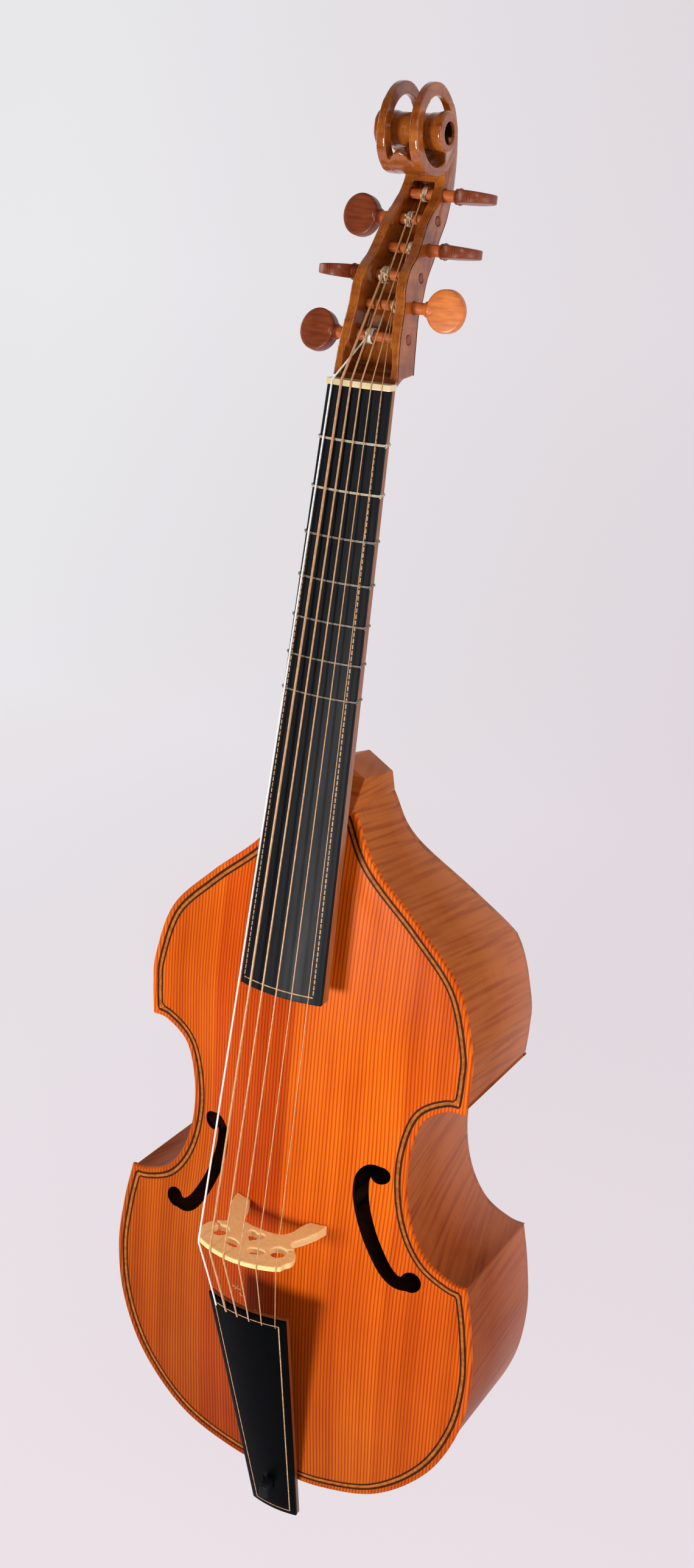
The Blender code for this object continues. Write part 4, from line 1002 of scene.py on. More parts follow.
def make_neck(material, heel_material):
    """Round-backed neck, and the gabled heel that carries on the line of the ribs and the back."""
    low, high = HEEL_HALF_WIDTHS
    points = [(side * low, y, HEEL_Z - 0.4) for side in (1, -1) for y in (TOP_Y + 0.2, HEEL_BACK_Y)]
    points += [(side * high, y, z) for side in (1, -1) for y, z in HEEL_SHOULDERS]
    points += [(0, HEEL_BACK_Y, HEEL_Z - 0.4)] + [(0, y, z) for y, z in HEEL_RIDGE]
    bm = bmesh.new()
    for point in points:
        bm.verts.new(point)
    bmesh.ops.convex_hull(bm, input=bm.verts)
    with_strip_uv(bm, lambda v: -v.co.z, lambda v: v.co.y)
    heel = bevel(add_object("neck_heel", bm, heel_material, smooth=25), 0.8, 2)
    place(settle(heel, 25), ["neck"], "neck_maple")
    rings = [plain_neck_section(z) for z in NECK_STATIONS] + [neck_section(*row) for row in NECK_FLARE]
    place(add_object("neck_shaft", loft(rings), material, smooth=50), ["neck"], "neck_maple")


def make_head(material, eye_material):
    """Pegbox and open scroll: pierced rims, a drum across them and a web at the throat."""
    profile = spline(CHEEK_FRONT, 4) + spline(CHEEK_BACK, 4)
    sides = [[(side * cheek_x(z), y, z) for y, z in profile] for side in (-1, 1)]
    head = add_object("head_carved", loft(sides), material)
    rim = [rim_point(4 * step) for step in range(90)]
    for side in (1, -1):
        rings = [[(side * RIM_INNER_X, y, z) for y, z in rim],
                 [(side * (RIM_OUTER_X - RIM_FLARE * (z - SCROLL_CENTRE[1])), y, z) for y, z in rim]]
        combine(head, add_object(f"rim_guide_{side}", loft(rings)), "UNION")
    hole = extrude_x(circle(RIM_HOLE_CENTRE, RIM_HOLE_RADIUS, 80), -THROUGH_HEAD, THROUGH_HEAD)
    combine(head, add_object("rim_hole", hole), "DIFFERENCE")
    low, high = THROAT_ANGLES
    rings = []
    for k in range(-8, 9):
        share = k / 8
        x = THROAT_HALF_WIDTH * share
        start = low - THROAT_ARCH * (1 - share ** 2)
        sweep = [start + (high - start) * step / 30 for step in range(31)]
        outer = [rim_point(angle, 0.4) for angle in sweep]
        inner = [rim_point(angle, THROAT_WALL) for angle in sweep[::-1]]
        rings.append([(x, y, z) for y, z in outer + inner])
    combine(head, add_object("throat_guide", loft(rings)), "UNION")
    drum = [(-x, r) for x, r in reversed(DRUM_PROFILE)] + DRUM_PROFILE
    combine(head, add_object("drum_guide", turned(drum, DRUM_CENTRE, 64)), "UNION")
    for side in (1, -1):
        rings = [[(side * LUG_INNER_X, y, z) for y, z, _ in LUG], [(side * x, y, z) for y, z, x in LUG]]
        combine(head, add_object(f"lug_guide_{side}", loft(rings)), "UNION")
        eye = turned([(side * x, r) for x, r in EYE_PROFILE], EAR_EYE, 40)
        combine(head, add_object(f"eye_guide_{side}", eye), "DIFFERENCE")
        boss_centre = [eye_at + off for eye_at, off in zip(EAR_EYE, BOSS_OFFSET)]
        boss = turned([(side * x, r) for x, r in BOSS_PROFILE], boss_centre, 32)
        combine(head, add_object(f"boss_guide_{side}", boss), "UNION")
    cavity = spline(CAVITY_FRONT, 4) + spline(CAVITY_BACK, 4)
    walls = [[(side * (cheek_x(z) - CHEEK_WALL), y, z) for y, z in cavity] for side in (-1, 1)]
    combine(head, add_object("pegbox_cutter", loft(walls)), "DIFFERENCE")
    mouth = [(MOUTH_DEEP_Y, 680, MOUTH_WALL), (MOUTH_DEEP_Y, MOUTH_TOP_Z - 9, MOUTH_WALL),
             (-84, 680, MOUTH_WALL + 1), (MOUTH_DEEP_Y, MOUTH_TOP_Z, CHEEK_WALL + 2),
             (-74.5, 693.5, CHEEK_WALL), (-74, 700, CHEEK_WALL)]
    bm = bmesh.new()
    for side in (1, -1):
        for y, z, wall in mouth:
            bm.verts.new((side * (cheek_x(MOUTH_TOP_Z) - wall), y, z))
    bmesh.ops.convex_hull(bm, input=bm.verts)
    combine(head, add_object("mouth_cutter", bm), "DIFFERENCE")
    for name, side, centre, *_ in PEGS:
        x_end = cheek_x(centre[1]) + 3
        bore = [(side * x, peg_radius(x, centre[1]) + 0.2) for x in (-x_end, x_end)]
        combine(head, add_object(f"{name}_bore", turned(bore, centre, 32)), "DIFFERENCE")
    soften(head, HEAD_VOXEL, 5)
    settle(head, 60)
    if not head.data.materials:
        head.data.materials.append(material)
    head.data.materials.append(eye_material)
    for face in head.data.polygons:
        x, y, z = face.center / MM
        far = math.hypot(y - EAR_EYE[0], z - EAR_EYE[1])
        face.material_index = int(far < EYE_SHADE_RADIUS and abs(x) < EAR_REACH - 2.4)
    return place(head, ["head"], "head_maple")


# ---------- pegs, strings and frets ----------

def peg_radius(x, z):
    """Radius of the peg's tapered shaft, x millimetres towards its head from the middle."""
    reach = cheek_x(z)
    share = (x + reach) / (2 * reach)
    return PEG_SHAFT_RADII[0] + (PEG_SHAFT_RADII[1] - PEG_SHAFT_RADII[0]) * share


def make_peg(peg, material, shaft_material):
    """A turned shaft with a ringed collar, and a flat oval head scored across its rim."""
    name, side, centre, _, _, _, angle = peg
    reach = cheek_x(centre[1])
    neck = reach + PEG_BARE_SHAFT
    radius = PEG_SHAFT_RADII[1]
    profile = [(x - reach, r) for x, r in PEG_END] + [(reach, radius)]
    profile += [(neck + out, radius + rise) for out, rise in PEG_COLLAR]
    shaft = turned([(side * x, r) for x, r in profile], centre, 36)
    obj = add_object(f"{name}_turned", shaft, material, origin=(0, *centre), smooth=50)
    along, across = PEG_HEAD
    middle = neck + PEG_COLLAR_HEIGHT + along - PEG_HEAD_SINK
    thick_in, thick_out = PEG_HEAD_HALF_THICKNESS
    turn = math.radians(angle)

    def spot(x, u, w):
        return (side * (middle + x), centre[0] + u * math.cos(turn) - w * math.sin(turn),
                centre[1] + u * math.sin(turn) + w * math.cos(turn))

    stack = PEG_HEAD_LAYERS + [(size, -level) for size, level in reversed(PEG_HEAD_LAYERS)]
    rings = []
    for size, level in stack:
        ring = []
        for k in range(PEG_HEAD_SIDES):
            a = 2 * math.pi * k / PEG_HEAD_SIDES
            x, u = along * size * math.cos(a), across * size * math.sin(a)
            half = thick_in + (thick_out - thick_in) * (x + along) / (2 * along)
            ring.append(spot(x, u, level * half))
        rings.append(ring)
    combine(obj, add_object(f"{name}_head_guide", loft(rings), smooth=50), "UNION")
    bm = bmesh.new()
    for score in PEG_SCORES:
        for edge in (across - SCORE_DEPTH, SCORE_DEPTH - across):
            out = math.copysign(2, edge)
            for corner in range(8):
                pick = [corner >> bit & 1 for bit in range(3)]
                bm.verts.new(spot(score + SCORE_WIDTH * pick[0], edge + out * pick[1], 8 * (2 * pick[2] - 1)))
            bmesh.ops.convex_hull(bm, input=list(bm.verts)[-8:])
    combine(obj, add_object(f"{name}_scores", bm), "DIFFERENCE")
    settle(obj, 40)
    obj.data.materials.append(shaft_material)
    for face in obj.data.polygons:
        face.material_index = int(-reach + 1 < side * face.center.x / MM < neck - 0.2)
    place(obj, [name], "peg_wood", name)


def winding_radius(peg):
    """Middle radius of the turns of string on a peg."""
    _, side, centre, i, x, _, _ = peg
    return peg_radius(side * x, centre[1]) + WINDING_CLEARANCE + STRING_DIAMETERS[i] / 2


def make_winding(peg, material):
    """The turns of string on one peg, with the cut end sticking out."""
    name, side, centre, i, x, turns, _ = peg
    diameter = STRING_DIAMETERS[i]
    radius = winding_radius(peg) - WINDING_SINK
    points = []
    steps = 20
    width = diameter * 1.04
    for k in range(int(turns * steps) + 1):
        a = math.pi + 2 * math.pi * k / steps
        points.append((x + width * (k / steps - turns / 2), centre[0] + radius * math.cos(a),
                       centre[1] + radius * math.sin(a)))
    end = Vector(points[-1])
    outward = Vector((0, end.y - centre[0], end.z - centre[1])).normalized()
    for out, along, up in ((0.8, 0.8, 0.9), (2.4, 1.8, 2.2), (4.5, 2.6, 2.8)):
        points.append(end + outward * out + Vector((along * side, 0, up)))
    bm = bmesh.new()
    tube(bm, points, diameter / 2 * 0.96, 10)
    obj = add_object(f"winding_{i + 1}_coil", bm, material, origin=(0, *centre), smooth=60)
    place(obj, [f"winding_{i + 1}"], "silver_wound" if i == 0 else "gut", name)


def make_string(i, peg, material):
    """From its winding, over the nut and the bridge, to its hole in the tailpiece."""
    _, _, centre, _, x, _, _ = peg
    nut, bridge, tail = string_places(i)
    off = winding_radius(peg) + STRING_DIAMETERS[i] * 0.1
    start = Vector((x, centre[0] - off, centre[1]))
    nut_back = nut + Vector((0, 0.4, NUT_LENGTH - 1))
    hole = tail + Vector((0, 0.9, -1.6))
    points = [start, (start + nut_back) / 2, nut_back, nut]
    points += [nut.lerp(bridge, k / 8) for k in range(1, 8)]
    points += [bridge + Vector((0, 0, STRING_SEAT_LENGTH)), bridge + Vector((0, 0.2, -STRING_SEAT_LENGTH))]
    points += [bridge.lerp(tail, 0.5), tail, hole]
    bm = bmesh.new()
    tube(bm, points, STRING_DIAMETERS[i] / 2, 12)
    obj = add_object(f"string_{i + 1}_cord", bm, material, smooth=60)
    place(obj, [f"string_{i + 1}"], "silver_wound" if i == 0 else "gut")


def fret_z(number):
    """Height of a fret of equal temperament on the open string from nut to bridge."""
    return NUT_Z * 2 ** (-number / 12)


def neck_wrap(z, spread):
    """Tight loop round fingerboard and neck at height z, spread millimetres clear of them, as (x, y)."""
    half = along_board(BOARD_HALF_WIDTHS, z)
    shape = [(half * s / 8, board_y(half * s / 8, z)) for s in range(-8, 9)]
    shape += [(s * (half - CORE_INSET), board_under_y(z)) for s in (1, -1)]
    shape += [(x, y) for x, y, _ in plain_neck_section(z, 16)]
    points = [p for spot in shape for p in circle(spot, spread, 12)]
    return convex_outline(sorted({(round(x, 4), round(y, 4)) for x, y in points}))


def convex_outline(points):
    """Convex hull of sorted (x, y) points, going round once."""
    def chain(run):
        kept = []
        for point in run:
            while len(kept) > 1:
                (ax, ay), (bx, by) = kept[-2:]
                if (bx - ax) * (point[1] - ay) - (by - ay) * (point[0] - ax) > 1e-6:
                    break
                kept.pop()
            kept.append(point)
        return kept[:-1]
    return chain(points) + chain(points[::-1])


def make_fret(number, material):
    """A doubled loop of gut tied round the neck, with its knot at the treble edge."""
    z = fret_z(number)
    gut_width = FRET_GUTS[number - 1]
    outline = neck_wrap(z, FRET_CLEARANCE + gut_width / 2)
    bm = bmesh.new()
    for offset in (-0.5, 0.5):
        tube(bm, [(x, y, z + offset * gut_width) for x, y in outline], gut_width / 2, 8, closed=True)
    half = along_board(BOARD_HALF_WIDTHS, z)
    for side, size in ((1, 1.0), (-1, 0.7)):
        knot = Vector((side * (half + 0.8), along_board(BOARD_EDGE_Y, z) + 1.4, z))
        for k in range(3):
            a = 2.1 * k
            off = (0.35 * side * math.cos(a), 0.8 * math.sin(a), 1.2 * math.cos(a + 0.6))
            middle = knot + Vector(off) * size
            loop = []
            for q in range(12):
                t = 2 * math.pi * q / 12
                turn = (side * 0.9 * math.cos(t), 1.1 * math.sin(t), 0.9 * math.sin(t + k))
                loop.append(middle + Vector(turn) * size)
            tube(bm, loop, 0.42 * gut_width, 8, closed=True)
    obj = add_object(f"fret_{number}_gut", bm, material, origin=(0, 0, z), smooth=60)
    place(obj, [f"fret_{number}"], "gut", f"fret_{number}")


# ---------- fingerboard, nut, bridge and tailpiece ----------

def arched_slab(z_values, half, front, back, columns=25):
    """A long slab whose front and back are functions of (x, z) and whose half width depends on z."""
    rings = []
    for z in z_values:
        xs = [half(z) * (2 * c / (columns - 1) - 1) for c in range(columns)]
        rings.append([(x, front(x, z), z) for x in xs] + [(x, back(x, z), z) for x in reversed(xs)])
    return loft(rings)


def make_fingerboard(veneer_material, core_material):
    """A black plate, arched like the strings, on a flat-backed brown core."""
    ends = [BOARD_END_Z + (NUT_Z - BOARD_END_Z) * k / 24 for k in range(25)]
    veneer = arched_slab(ends, lambda z: along_board(BOARD_HALF_WIDTHS, z), board_y,
                         lambda x, z: board_y(x, z) + VENEER_THICKNESS)
    obj = bevel(add_object("fingerboard_veneer_polished", veneer, veneer_material, smooth=30), 0.7)
    place(settle(obj), ["fingerboard_veneer"], "ebony")
    core = arched_slab(ends, lambda z: along_board(BOARD_HALF_WIDTHS, z) - CORE_INSET,
                       lambda x, z: board_y(x, z) + VENEER_THICKNESS + CORE_GAP,
                       lambda x, z: board_under_y(z))
    obj = bevel(add_object("fingerboard_core_shaped", core, core_material, smooth=30), 0.6)
    place(settle(obj), ["fingerboard_core"], "veneer_core")


def inlay_piece(name, runs, surface, width, material, slot, dash=None, lift=0.06):
    """Thin inlaid lines: each run is a list of (x, z) on the surface; dash gives (length, gap)."""
    bm = bmesh.new()
    for run in runs:
        run = [Vector(p) for p in run]
        total = sum((b - a).length for a, b in zip(run, run[1:]))
        pieces = [(0, total)]
        if dash:
            count = int(total / sum(dash))
            pieces = [(k * sum(dash), k * sum(dash) + dash[0]) for k in range(count)]
        steps = 4 if dash else 40
        for start, end in pieces:
            rings = []
            for k in range(steps + 1):
                spot, way = run_point(run, start + (end - start) * k / steps)
                off = Vector((way.y, -way.x)) * width / 2
                a, b = spot - off, spot + off
                rings.append([(a.x, surface(a.x, a.y) - lift, a.y), (b.x, surface(b.x, b.y) - lift, b.y),
                              (b.x, surface(b.x, b.y) + 0.4, b.y), (a.x, surface(a.x, a.y) + 0.4, a.y)])
            loops = [[bm.verts.new(p) for p in ring] for ring in rings]
            for a, b in zip(loops, loops[1:]):
                for i in range(4):
                    bm.faces.new((a[i], a[(i + 1) % 4], b[(i + 1) % 4], b[i]))
            bm.faces.new(loops[0])
            bm.faces.new(loops[-1][::-1])
    obj = add_object(name, bm, material, smooth=40)
    return place(obj, [], slot)


def run_point(run, length):
    """The point that far along a polyline, and the direction there."""
    for a, b in zip(run, run[1:]):
        step = (b - a).length
        if length <= step or b is run[-1]:
            way = (b - a).normalized()
            return a + way * min(length, step), way
        length -= step


def make_board_inlay(material):
    """The broken pale line inside the fingerboard's edges."""
    low, high = BOARD_END_Z + BOARD_INLAY_ENDS[0], NUT_Z - BOARD_INLAY_ENDS[1]
    side_width, end_width = BOARD_INLAY_WIDTHS
    sides = []
    for side, gap in BOARD_INLAY_GAPS.items():
        sides.append([(side * (along_board(BOARD_HALF_WIDTHS, z) - gap), z) for z in (high, low)])
    right, left = sides[0][-1][0], sides[1][-1][0]
    across = [(left + (right - left) * k / 10, low) for k in range(11)]
    inlay_piece("fingerboard_inlay", sides, board_y, side_width, material, "veneer_core", BOARD_INLAY_DASH)
    inlay_piece("fingerboard_inlay_end", [across], board_y, end_width, material, "veneer_core")


def make_nut(material):
    """Narrow bone block with a groove for each string."""
    seat = board_under_y(NUT_Z + NUT_LENGTH / 2)
    top_rise = STRING_RISE_AT_NUT - NUT_TOP_BELOW_STRINGS
    ends = [NUT_Z + 0.05 + (NUT_LENGTH - 0.05) * k / 4 for k in range(5)]
    slab = arched_slab(ends, lambda z: NUT_HALF_WIDTH,
                       lambda x, z: board_y(x * NUT_ROUNDING, NUT_Z) - top_rise + NUT_FALL * (z - NUT_Z),
                       lambda x, z: seat, 41)
    nut = add_object("nut_notched", slab, material, smooth=30)
    for i in range(6):
        top, _, _ = string_places(i)
        radius = STRING_DIAMETERS[i] / 2 + 0.06
        bm = bmesh.new()
        tube(bm, [top + Vector((0, -0.1, -4)), top + Vector((0, 0.9, NUT_LENGTH + 4))], radius, 12)
        combine(nut, add_object(f"nut_notch_{i}", bm), "DIFFERENCE")
    soften(nut, 0.3, 3)
    place(settle(nut, 60), ["nut"], "nut_bone")


def bridge_outline():
    """Whole outline of the bridge as (x, height), feet down."""
    crest = []
    for i in range(-12, 13):
        x = BRIDGE_CREST_END * i / 12
        top = BRIDGE_CREST_Y + 0.9 + BRIDGE_CREST_DROP * (x / CREST_HALF_WIDTH) ** 2
        crest.append((x, TOP_Y - top))
    feet = np.linspace(*BRIDGE_FEET, 5)
    foot = [(s, TOP_Y - y + 0.15) for s, y in zip(feet, top_y([(s, 0) for s in feet]))]
    side = spline(BRIDGE_SIDE, 4)
    treble = [foot[-1]] + side + crest[::-1][:12]
    bass = [(-x, h) for x, h in reversed(treble)]
    arch = spline(BRIDGE_LEG_INNER, 4)
    legs = [foot[0]] + arch + [(-x, h) for x, h in reversed(arch[:-1])] + [(-foot[0][0], foot[0][1])]
    left_foot = [(-x, h) for x, h in foot[1:-1]]
    return treble + [crest[12]] + bass + left_foot[::-1] + legs[::-1] + foot[1:-1]


def make_bridge(material):
    """Carved bridge: thick at its feet and thin at its crest, pierced with eyes, heart and slots."""
    def placed(outline, low, high):
        rings = []
        for face in (low, high):
            ring = []
            for x, height in outline:
                share = max(0.0, min(1.0, height / BRIDGE_HEIGHT))
                thickness = BRIDGE_THICKNESSES[0] + (BRIDGE_THICKNESSES[1] - BRIDGE_THICKNESSES[0]) * share
                ring.append((x, TOP_Y - height, BRIDGE_TAIL_FACE_Z + face * thickness))
            rings.append(ring)
        return loft(rings)
    bridge = add_object("bridge_carved", placed(bridge_outline(), 0, 1), material)
    eye_x, eye_h, eye_r = BRIDGE_EYE
    shapes = [circle((side * eye_x, eye_h), eye_r, 32) for side in (1, -1)]
    shapes += [[(side * (eye_x + x), eye_h + h) for x, h in BRIDGE_SLIT] for side in (1, -1)]
    heart_x, heart_h, heart_r = BRIDGE_HEART
    shapes.append([(heart_x + heart_r * math.sin(a) ** 3 * 1.15,
                    heart_h - heart_r * (13 * math.cos(a) - 5 * math.cos(2 * a) - 2 * math.cos(3 * a)) / 14)
                   for a in (2 * math.pi * k / 32 for k in range(32))])
    slot_x, slot_h, slot_long, slot_high = BRIDGE_SLOTS
    for side in (1, -1):
        shapes.append([(side * (slot_x + slot_long * math.cos(a)), slot_h - 0.25 * math.cos(a) * slot_long
                        + slot_high * math.sin(a) * (1 - 0.25 * math.cos(a)))
                       for a in (2 * math.pi * k / 32 for k in range(32))])
    for i, shape in enumerate(shapes):
        combine(bridge, add_object(f"bridge_cutter_{i}", placed(shape, -1.0, 2.0)), "DIFFERENCE")
    for i in range(6):
        _, crest, _ = string_places(i)
        bm = bmesh.new()
        run = [crest + Vector((0, -0.1, -9)), crest + Vector((0, 0.1, 9))]
        tube(bm, run, STRING_DIAMETERS[i] / 2 + 0.08, 10)
        combine(bridge, add_object(f"bridge_notch_{i}", bm), "DIFFERENCE")
    soften(bridge, 0.5, 4)
    place(settle(bridge, 60), ["bridge"], "bridge_maple")


def make_tailpiece(veneer_material, core_material, inlay_material, knot_material):
    """Crowned tailpiece: black veneer with an inlaid line over a brown core, hooked at its end."""
    slot_x, slot_low, slot_high = HOOK_SLOT
    ends = [TAIL_TOP_Z + (TAIL_END_Z - TAIL_TOP_Z) * k / 20 for k in range(21)]
    veneer = arched_slab(ends, lambda z: along_tail(TAIL_HALF_WIDTHS, z), tail_y,
                         lambda x, z: tail_y(x, z) + TAIL_VENEER, 17)
    core = arched_slab(ends, lambda z: along_tail(TAIL_HALF_WIDTHS, z) - TAIL_CORE_INSET,
                       lambda x, z: tail_y(x, z) + TAIL_VENEER + CORE_GAP,
                       lambda x, z: tail_y(x, z) + TAIL_VENEER + TAIL_CORE, 17)
    slot = [(-slot_x, slot_low), (slot_x, slot_low), (slot_x, slot_high), (-slot_x, slot_high)]
    for node, bm, material, finish in (("tailpiece_veneer", veneer, veneer_material, "ebony"),
                                       ("tailpiece_core", core, core_material, "veneer_core")):
        obj = add_object(f"{node}_polished", bm, material, smooth=30)
        cutter = add_object("tail_slot_cutter", extrude_y(slot, *SLOT_CUT_Y))
        combine(obj, cutter, "DIFFERENCE")
        if node == "tailpiece_veneer":
            for i in range(6):
                _, _, tail = string_places(i)
                round_hole = circle((tail.x, tail.z - 1.4), STRING_DIAMETERS[i] / 2 + 0.7, 16)
                combine(obj, add_object(f"tail_hole_{i}", extrude_y(round_hole, -230, -150)), "DIFFERENCE")
        bevel(obj, 0.5)
        place(settle(obj, 30), [node], finish)
    gap, width = TAIL_INLAY
    top, low = TAIL_TOP_Z - TAIL_INLAY_ENDS[0], TAIL_END_Z + TAIL_INLAY_ENDS[1]
    around = ((-1, top), (-1, low), (1, low), (1, top))
    corners = [(side * (along_tail(TAIL_HALF_WIDTHS, z) - gap), z) for side, z in around]
    runs = [[corners[0], corners[1]], [corners[3], corners[2]]]
    runs += [[(a[0] + (b[0] - a[0]) * k / 12, a[1]) for k in range(13)]
             for a, b in ((corners[0], corners[3]), (corners[1], corners[2]))]
    inlay_piece("tailpiece_inlay", runs, tail_y, width, inlay_material, "veneer_core")
    bm = bmesh.new()
    for i in range(6):
        _, _, tail = string_places(i)
        under = tail_y(tail.x, tail.z) + TAIL_VENEER + TAIL_CORE + 1.2
        for turn in range(2):
            loop = [(tail.x + 1.7 * math.cos(t), under + 0.8 * turn, tail.z + 2 + 1.7 * math.sin(t))
                    for t in (2 * math.pi * q / 12 for q in range(12))]
            tube(bm, loop, STRING_DIAMETERS[i] / 2, 8, closed=True)
    for a, b in LOOSE_ENDS:
        tube(bm, [a, (Vector(a) + Vector(b)) / 2 + Vector((0, -0.6, 0)), b], 0.5, 8)
    place(add_object("tail_knots", bm, knot_material, smooth=60), [], "gut")


def make_hook_bar(material):
    """The bar on the end block, with the hook that holds the tailpiece."""
    bar = extrude_x(HOOK_PROFILE, -HOOK_HALF_WIDTH, HOOK_HALF_WIDTH)
    obj = bevel(add_object("hook_bar_polished", bar, material, smooth=30), 0.8)
    place(settle(obj, 30), ["hook_bar"], "hook_ebony")


def make_cheek_lines(material):
    """Thin dark lines inside the edges of the pegbox's side faces."""
    bm = bmesh.new()
    for side in (1, -1):
        for profile, shift in ((CHEEK_FRONT[:-3], 1.3), (CHEEK_BACK[3:], -1.3)):
            run = [(side * (cheek_x(z) + 0.02), y + shift, z) for y, z in spline(profile, 4)]
            tube(bm, run, 0.28, 6)
    place(add_object("pegbox_lines", bm, material, smooth=60), [], "head_maple")


# ---------- floor, light and camera ----------

def make_stage():
    """A pale sweep of paper behind and below the instrument, which glows like a light table, with painted
    shade that darkens and pinks it towards +X.
    """
    paint = Paint("paper_sweep", 0.9, specular=0.1)
    separate = paint.add("ShaderNodeSeparateXYZ")
    paint.link(paint.add("ShaderNodeTexCoord").outputs["Object"], separate.inputs["Vector"])
    across = paint.add("ShaderNodeMapRange")
    across.inputs["From Min"].default_value = -3.97
    across.inputs["From Max"].default_value = -0.63
    paint.link(separate.outputs["X"], across.inputs["Value"])
    # Painted shadow: colour and glow go darker and pinker towards +X.
    painted_shade_tint = paint.ramp(across.outputs["Result"], [(0.0, (0.845, 0.845, 0.865)), (1.0, (0.75, 0.69, 0.735))])
    paint.color(paint.mix(painted_shade_tint, (0.3, 0.3, 0.3)))
    paint.link(painted_shade_tint, paint.shader.inputs["Emission Color"])
    paint.shader.inputs["Emission Strength"].default_value = 0.85
    floor_z, wall_y, radius = -900.0, 4600.0, 1300.0
    profile = [(-1500, floor_z), (wall_y - radius, floor_z)]
    for k in range(1, 16):
        a = math.pi / 2 * k / 16
        profile.append((wall_y - radius + radius * math.sin(a), floor_z + radius - radius * math.cos(a)))
    profile += [(wall_y, floor_z + radius), (wall_y, 6500)]
    rings = [[(x, y, z) for y, z in profile] for x in (-9000, 9000)]
    sweep = add_object("sweep", loft(rings, around=False), paint.material, smooth=60)


def make_light(name, place_mm, aim_mm, size, power, color):
    """A round area light, unseen by the camera, from one point towards another."""
    data = bpy.data.lights.new(name, "AREA")
    data.shape = "DISK"
    data.size = size
    data.energy = power
    data.color = color
    obj = bpy.data.objects.new(name, data)
    obj.location = Vector(place_mm) * MM
    way = Vector(aim_mm) - Vector(place_mm)
    obj.rotation_euler = way.to_track_quat("-Z", "Y").to_euler()
    obj.visible_camera = False
    bpy.context.scene.collection.objects.link(obj)
    return obj


def make_lights():
    """Dim in front and brighter behind, with a soft key from the front and weaker fills from the sides.

    The camera sees the world as an even pale grey.
    """
    world = bpy.data.worlds.new("studio")
    world.use_nodes = True
    tree = world.node_tree
    background = tree.nodes["Background"]
    background.inputs["Color"].default_value = (1.0, 0.96, 0.96, 1)
    facing = tree.nodes.new("ShaderNodeVectorMath")
    facing.operation = "DOT_PRODUCT"
    facing.inputs[1].default_value = (0.35, 0.85, 0.4)
    tree.links.new(tree.nodes.new("ShaderNodeTexCoord").outputs["Generated"], facing.inputs[0])
    amount = tree.nodes.new("ShaderNodeMapRange")
    amount.inputs["From Min"].default_value = -0.3
    amount.inputs["From Max"].default_value = 1.0
    amount.inputs["To Min"].default_value = 0.03
    amount.inputs["To Max"].default_value = 0.75
    tree.links.new(facing.outputs["Value"], amount.inputs["Value"])
    seen = tree.nodes.new("ShaderNodeMix")
    seen.inputs[3].default_value = 0.72
    tree.links.new(tree.nodes.new("ShaderNodeLightPath").outputs["Is Camera Ray"], seen.inputs[0])
    tree.links.new(amount.outputs["Result"], seen.inputs[2])
    tree.links.new(seen.outputs[0], background.inputs["Strength"])
    bpy.context.scene.world = world
    make_light("key", (-270, -1680, 60), (60, -120, 300), 0.46, 28, (1.0, 0.98, 0.95))
    make_light("fill", (2000, -350, 350), (0, -50, 250), 1.4, 17, (1.0, 0.90, 0.84))
    make_light("left_fill", (-2000, -150, 900), (0, -50, 250), 1.2, 14, (1.0, 0.90, 0.82))
    make_light("head_fill", (900, -1500, 1300), (-10, -60, 780), 0.5, 5, (1.0, 0.93, 0.84))


def make_camera():
    """The camera, from its place, its own axes and its lens."""
    data = bpy.data.cameras.new("camera")
    data.lens = CAMERA_LENS
    data.sensor_width = 36.0
    data.sensor_fit = "AUTO"
    data.clip_start = 0.01
    data.clip_end = 50.0
    obj = bpy.data.objects.new("camera", data)
    axes = Matrix((CAMERA_RIGHT, CAMERA_UP, [-c for c in CAMERA_FORWARD])).transposed()
    obj.matrix_world = Matrix.Translation(Vector(CAMERA_PLACE) * MM) @ axes.to_4x4()
    bpy.context.scene.collection.objects.link(obj)
    bpy.context.scene.camera = obj


# ---------- assembly ----------

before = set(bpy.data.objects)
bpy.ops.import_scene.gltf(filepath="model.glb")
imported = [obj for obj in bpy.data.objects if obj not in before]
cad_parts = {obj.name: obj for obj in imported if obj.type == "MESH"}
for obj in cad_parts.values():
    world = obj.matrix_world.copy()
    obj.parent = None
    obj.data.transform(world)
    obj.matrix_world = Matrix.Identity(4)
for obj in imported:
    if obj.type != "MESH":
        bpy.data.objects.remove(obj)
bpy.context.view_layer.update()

bpy.context.scene.view_settings.view_transform = "Standard"
make_camera()
make_stage()
make_lights()

spruce = spruce_varnish()
rib_maple = flamed_maple("rib_maple_varnish", (0.50, 0.140, 0.026), (0.36, 0.080, 0.013), 240)
back_maple = flamed_maple("back_maple_varnish", (0.42, 0.13, 0.030), (0.22, 0.055, 0.011), flames=200)
neck_maple = carved_maple("neck_maple_varnish", (0.38, 0.110, 0.026), (0.27, 0.068, 0.015), 0.36, 0.08)
head_maple = carved_maple("head_maple_varnish", (0.50, 0.150, 0.022), (0.32, 0.078, 0.012), 0.17, 0.5)
# Painted shade: the inner wood is made very dark to stand for the darkness inside the body, seen through the
# sound holes.
shaded_inner_spruce = bare_wood("inner_spruce_painted_shade", (0.14, 0.095, 0.052), (0.09, 0.058, 0.03), 0.9)
bridge_maple = bare_wood("bridge_maple_bare", (1.0, 0.68, 0.30), (0.92, 0.53, 0.20), 0.5, (260, 900, 900))
black = ebony("board_ebony", 0.42, 0.09, (0.009, 0.011, 0.015))
tail_black = ebony("tail_ebony", 0.34, 0.012, (0.0008, 0.0014, 0.002))
core_wood = bare_wood("core_brown", (0.36, 0.13, 0.045), (0.20, 0.062, 0.02), 0.4, coat=0.3)
tail_wood = bare_wood("tail_core_brown", (0.17, 0.046, 0.014), (0.09, 0.024, 0.008), 0.4)
bone_white = bone()
gut_tan = gut()
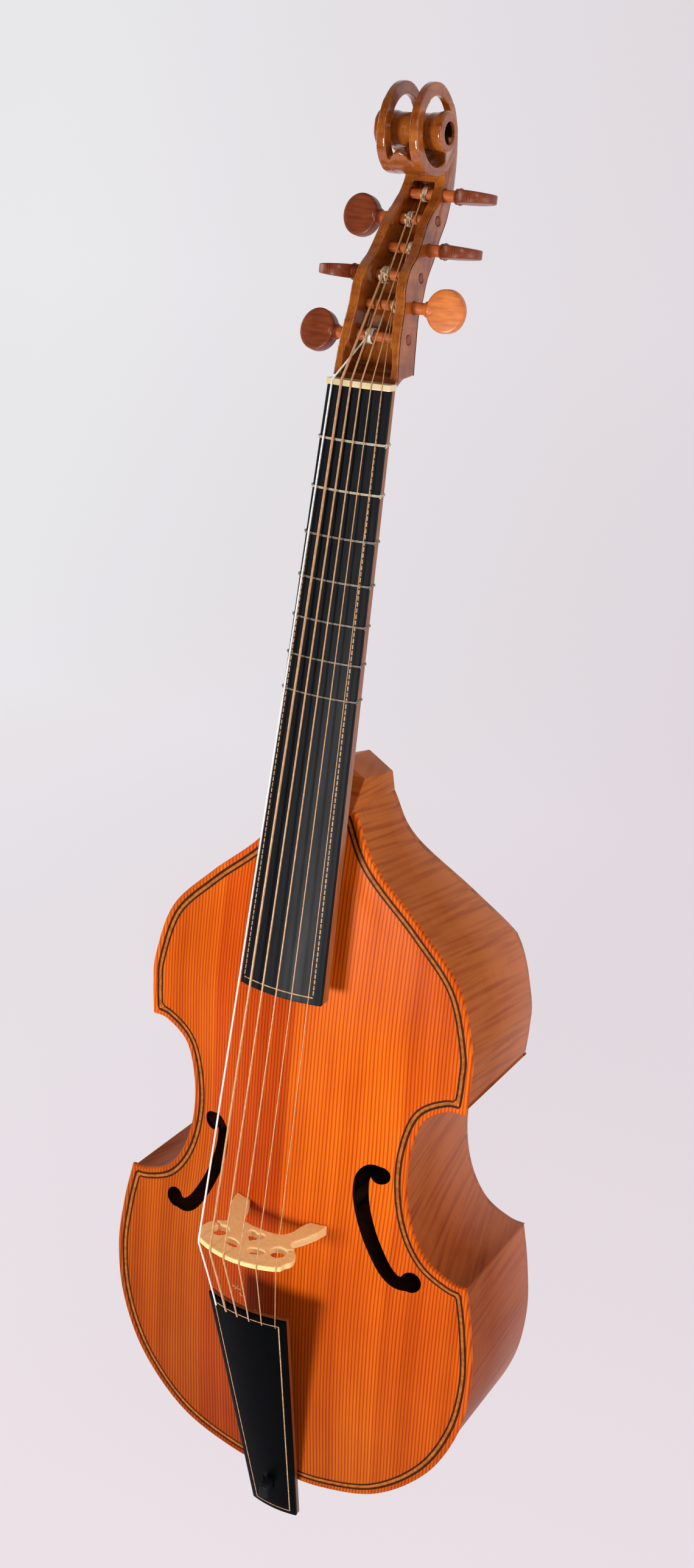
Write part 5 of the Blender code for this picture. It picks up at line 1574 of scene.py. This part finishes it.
gut_pale = gut("gut_fret_pale", (0.62, 0.56, 0.45), (0.42, 0.36, 0.27))
gut_dull = gut("gut_fret_dull", (0.27, 0.24, 0.20), (0.16, 0.13, 0.10))
gut_coil = gut("gut_coil", (0.74, 0.62, 0.46), (0.52, 0.40, 0.26))
silver = wound_silver()
peg_wood = fruitwood("peg_fruitwood", (0.26, 0.052, 0.014), (0.17, 0.031, 0.008))
# Painted highlight: a brighter copy of the peg wood for peg_treble_1, standing in for the broad highlight
# that its head catches.
peg_wood_painted_highlight = fruitwood("peg_fruitwood_painted_highlight", (0.80, 0.235, 0.050), (0.62, 0.160, 0.030))
peg_shaft_wood = fruitwood("peg_shaft_wood", (0.62, 0.155, 0.032), (0.42, 0.090, 0.018))
shadow_brown = plain_line("eye_shadow", (0.018, 0.005, 0.002), 0.7)
hole_black = plain_line("sound_hole_edge", (0.010, 0.006, 0.004), 0.8)
line_dark = plain_line("purfling_dark", (0.050, 0.012, 0.003), 0.5)
line_band = plain_line("purfling_pale", (0.47, 0.135, 0.018), 0.5)
line_tan = plain_line("inlay_tan", (0.55, 0.33, 0.18), 0.4)

make_soundboard(spruce, hole_black)
make_purfling(line_dark, line_band)
make_ribs(rib_maple)
make_back(back_maple)
make_neck(neck_maple, rib_maple)
make_head(head_maple, shadow_brown)
make_cheek_lines(line_dark)
make_fingerboard(black, core_wood)
make_board_inlay(line_tan)
make_nut(bone_white)
make_bridge(bridge_maple)
make_tailpiece(tail_black, tail_wood, line_tan, gut_tan)
make_hook_bar(black)
for number in range(1, FRET_COUNT + 1):
    make_fret(number, gut_pale if number < 3 else gut_dull)
for peg in PEGS:
    cord = silver if peg[3] == 0 else gut_tan
    make_peg(peg, peg_wood_painted_highlight if peg[0] == "peg_treble_1" else peg_wood, peg_shaft_wood)
    make_winding(peg, silver if peg[3] == 0 else gut_coil)
    make_string(peg[3], peg, cord)

# The inner CAD parts get the dark painted-shade spruce.
INNER_WOOD = ["lining_", "corner_block_", "neck_block", "end_block", "bass_bar", "sound_post",
              "back_bend_brace"]
for name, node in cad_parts.items():
    if any(name.startswith(start) for start in INNER_WOOD):
        node.data.materials.clear()
        node.data.materials.append(shaded_inner_spruce)
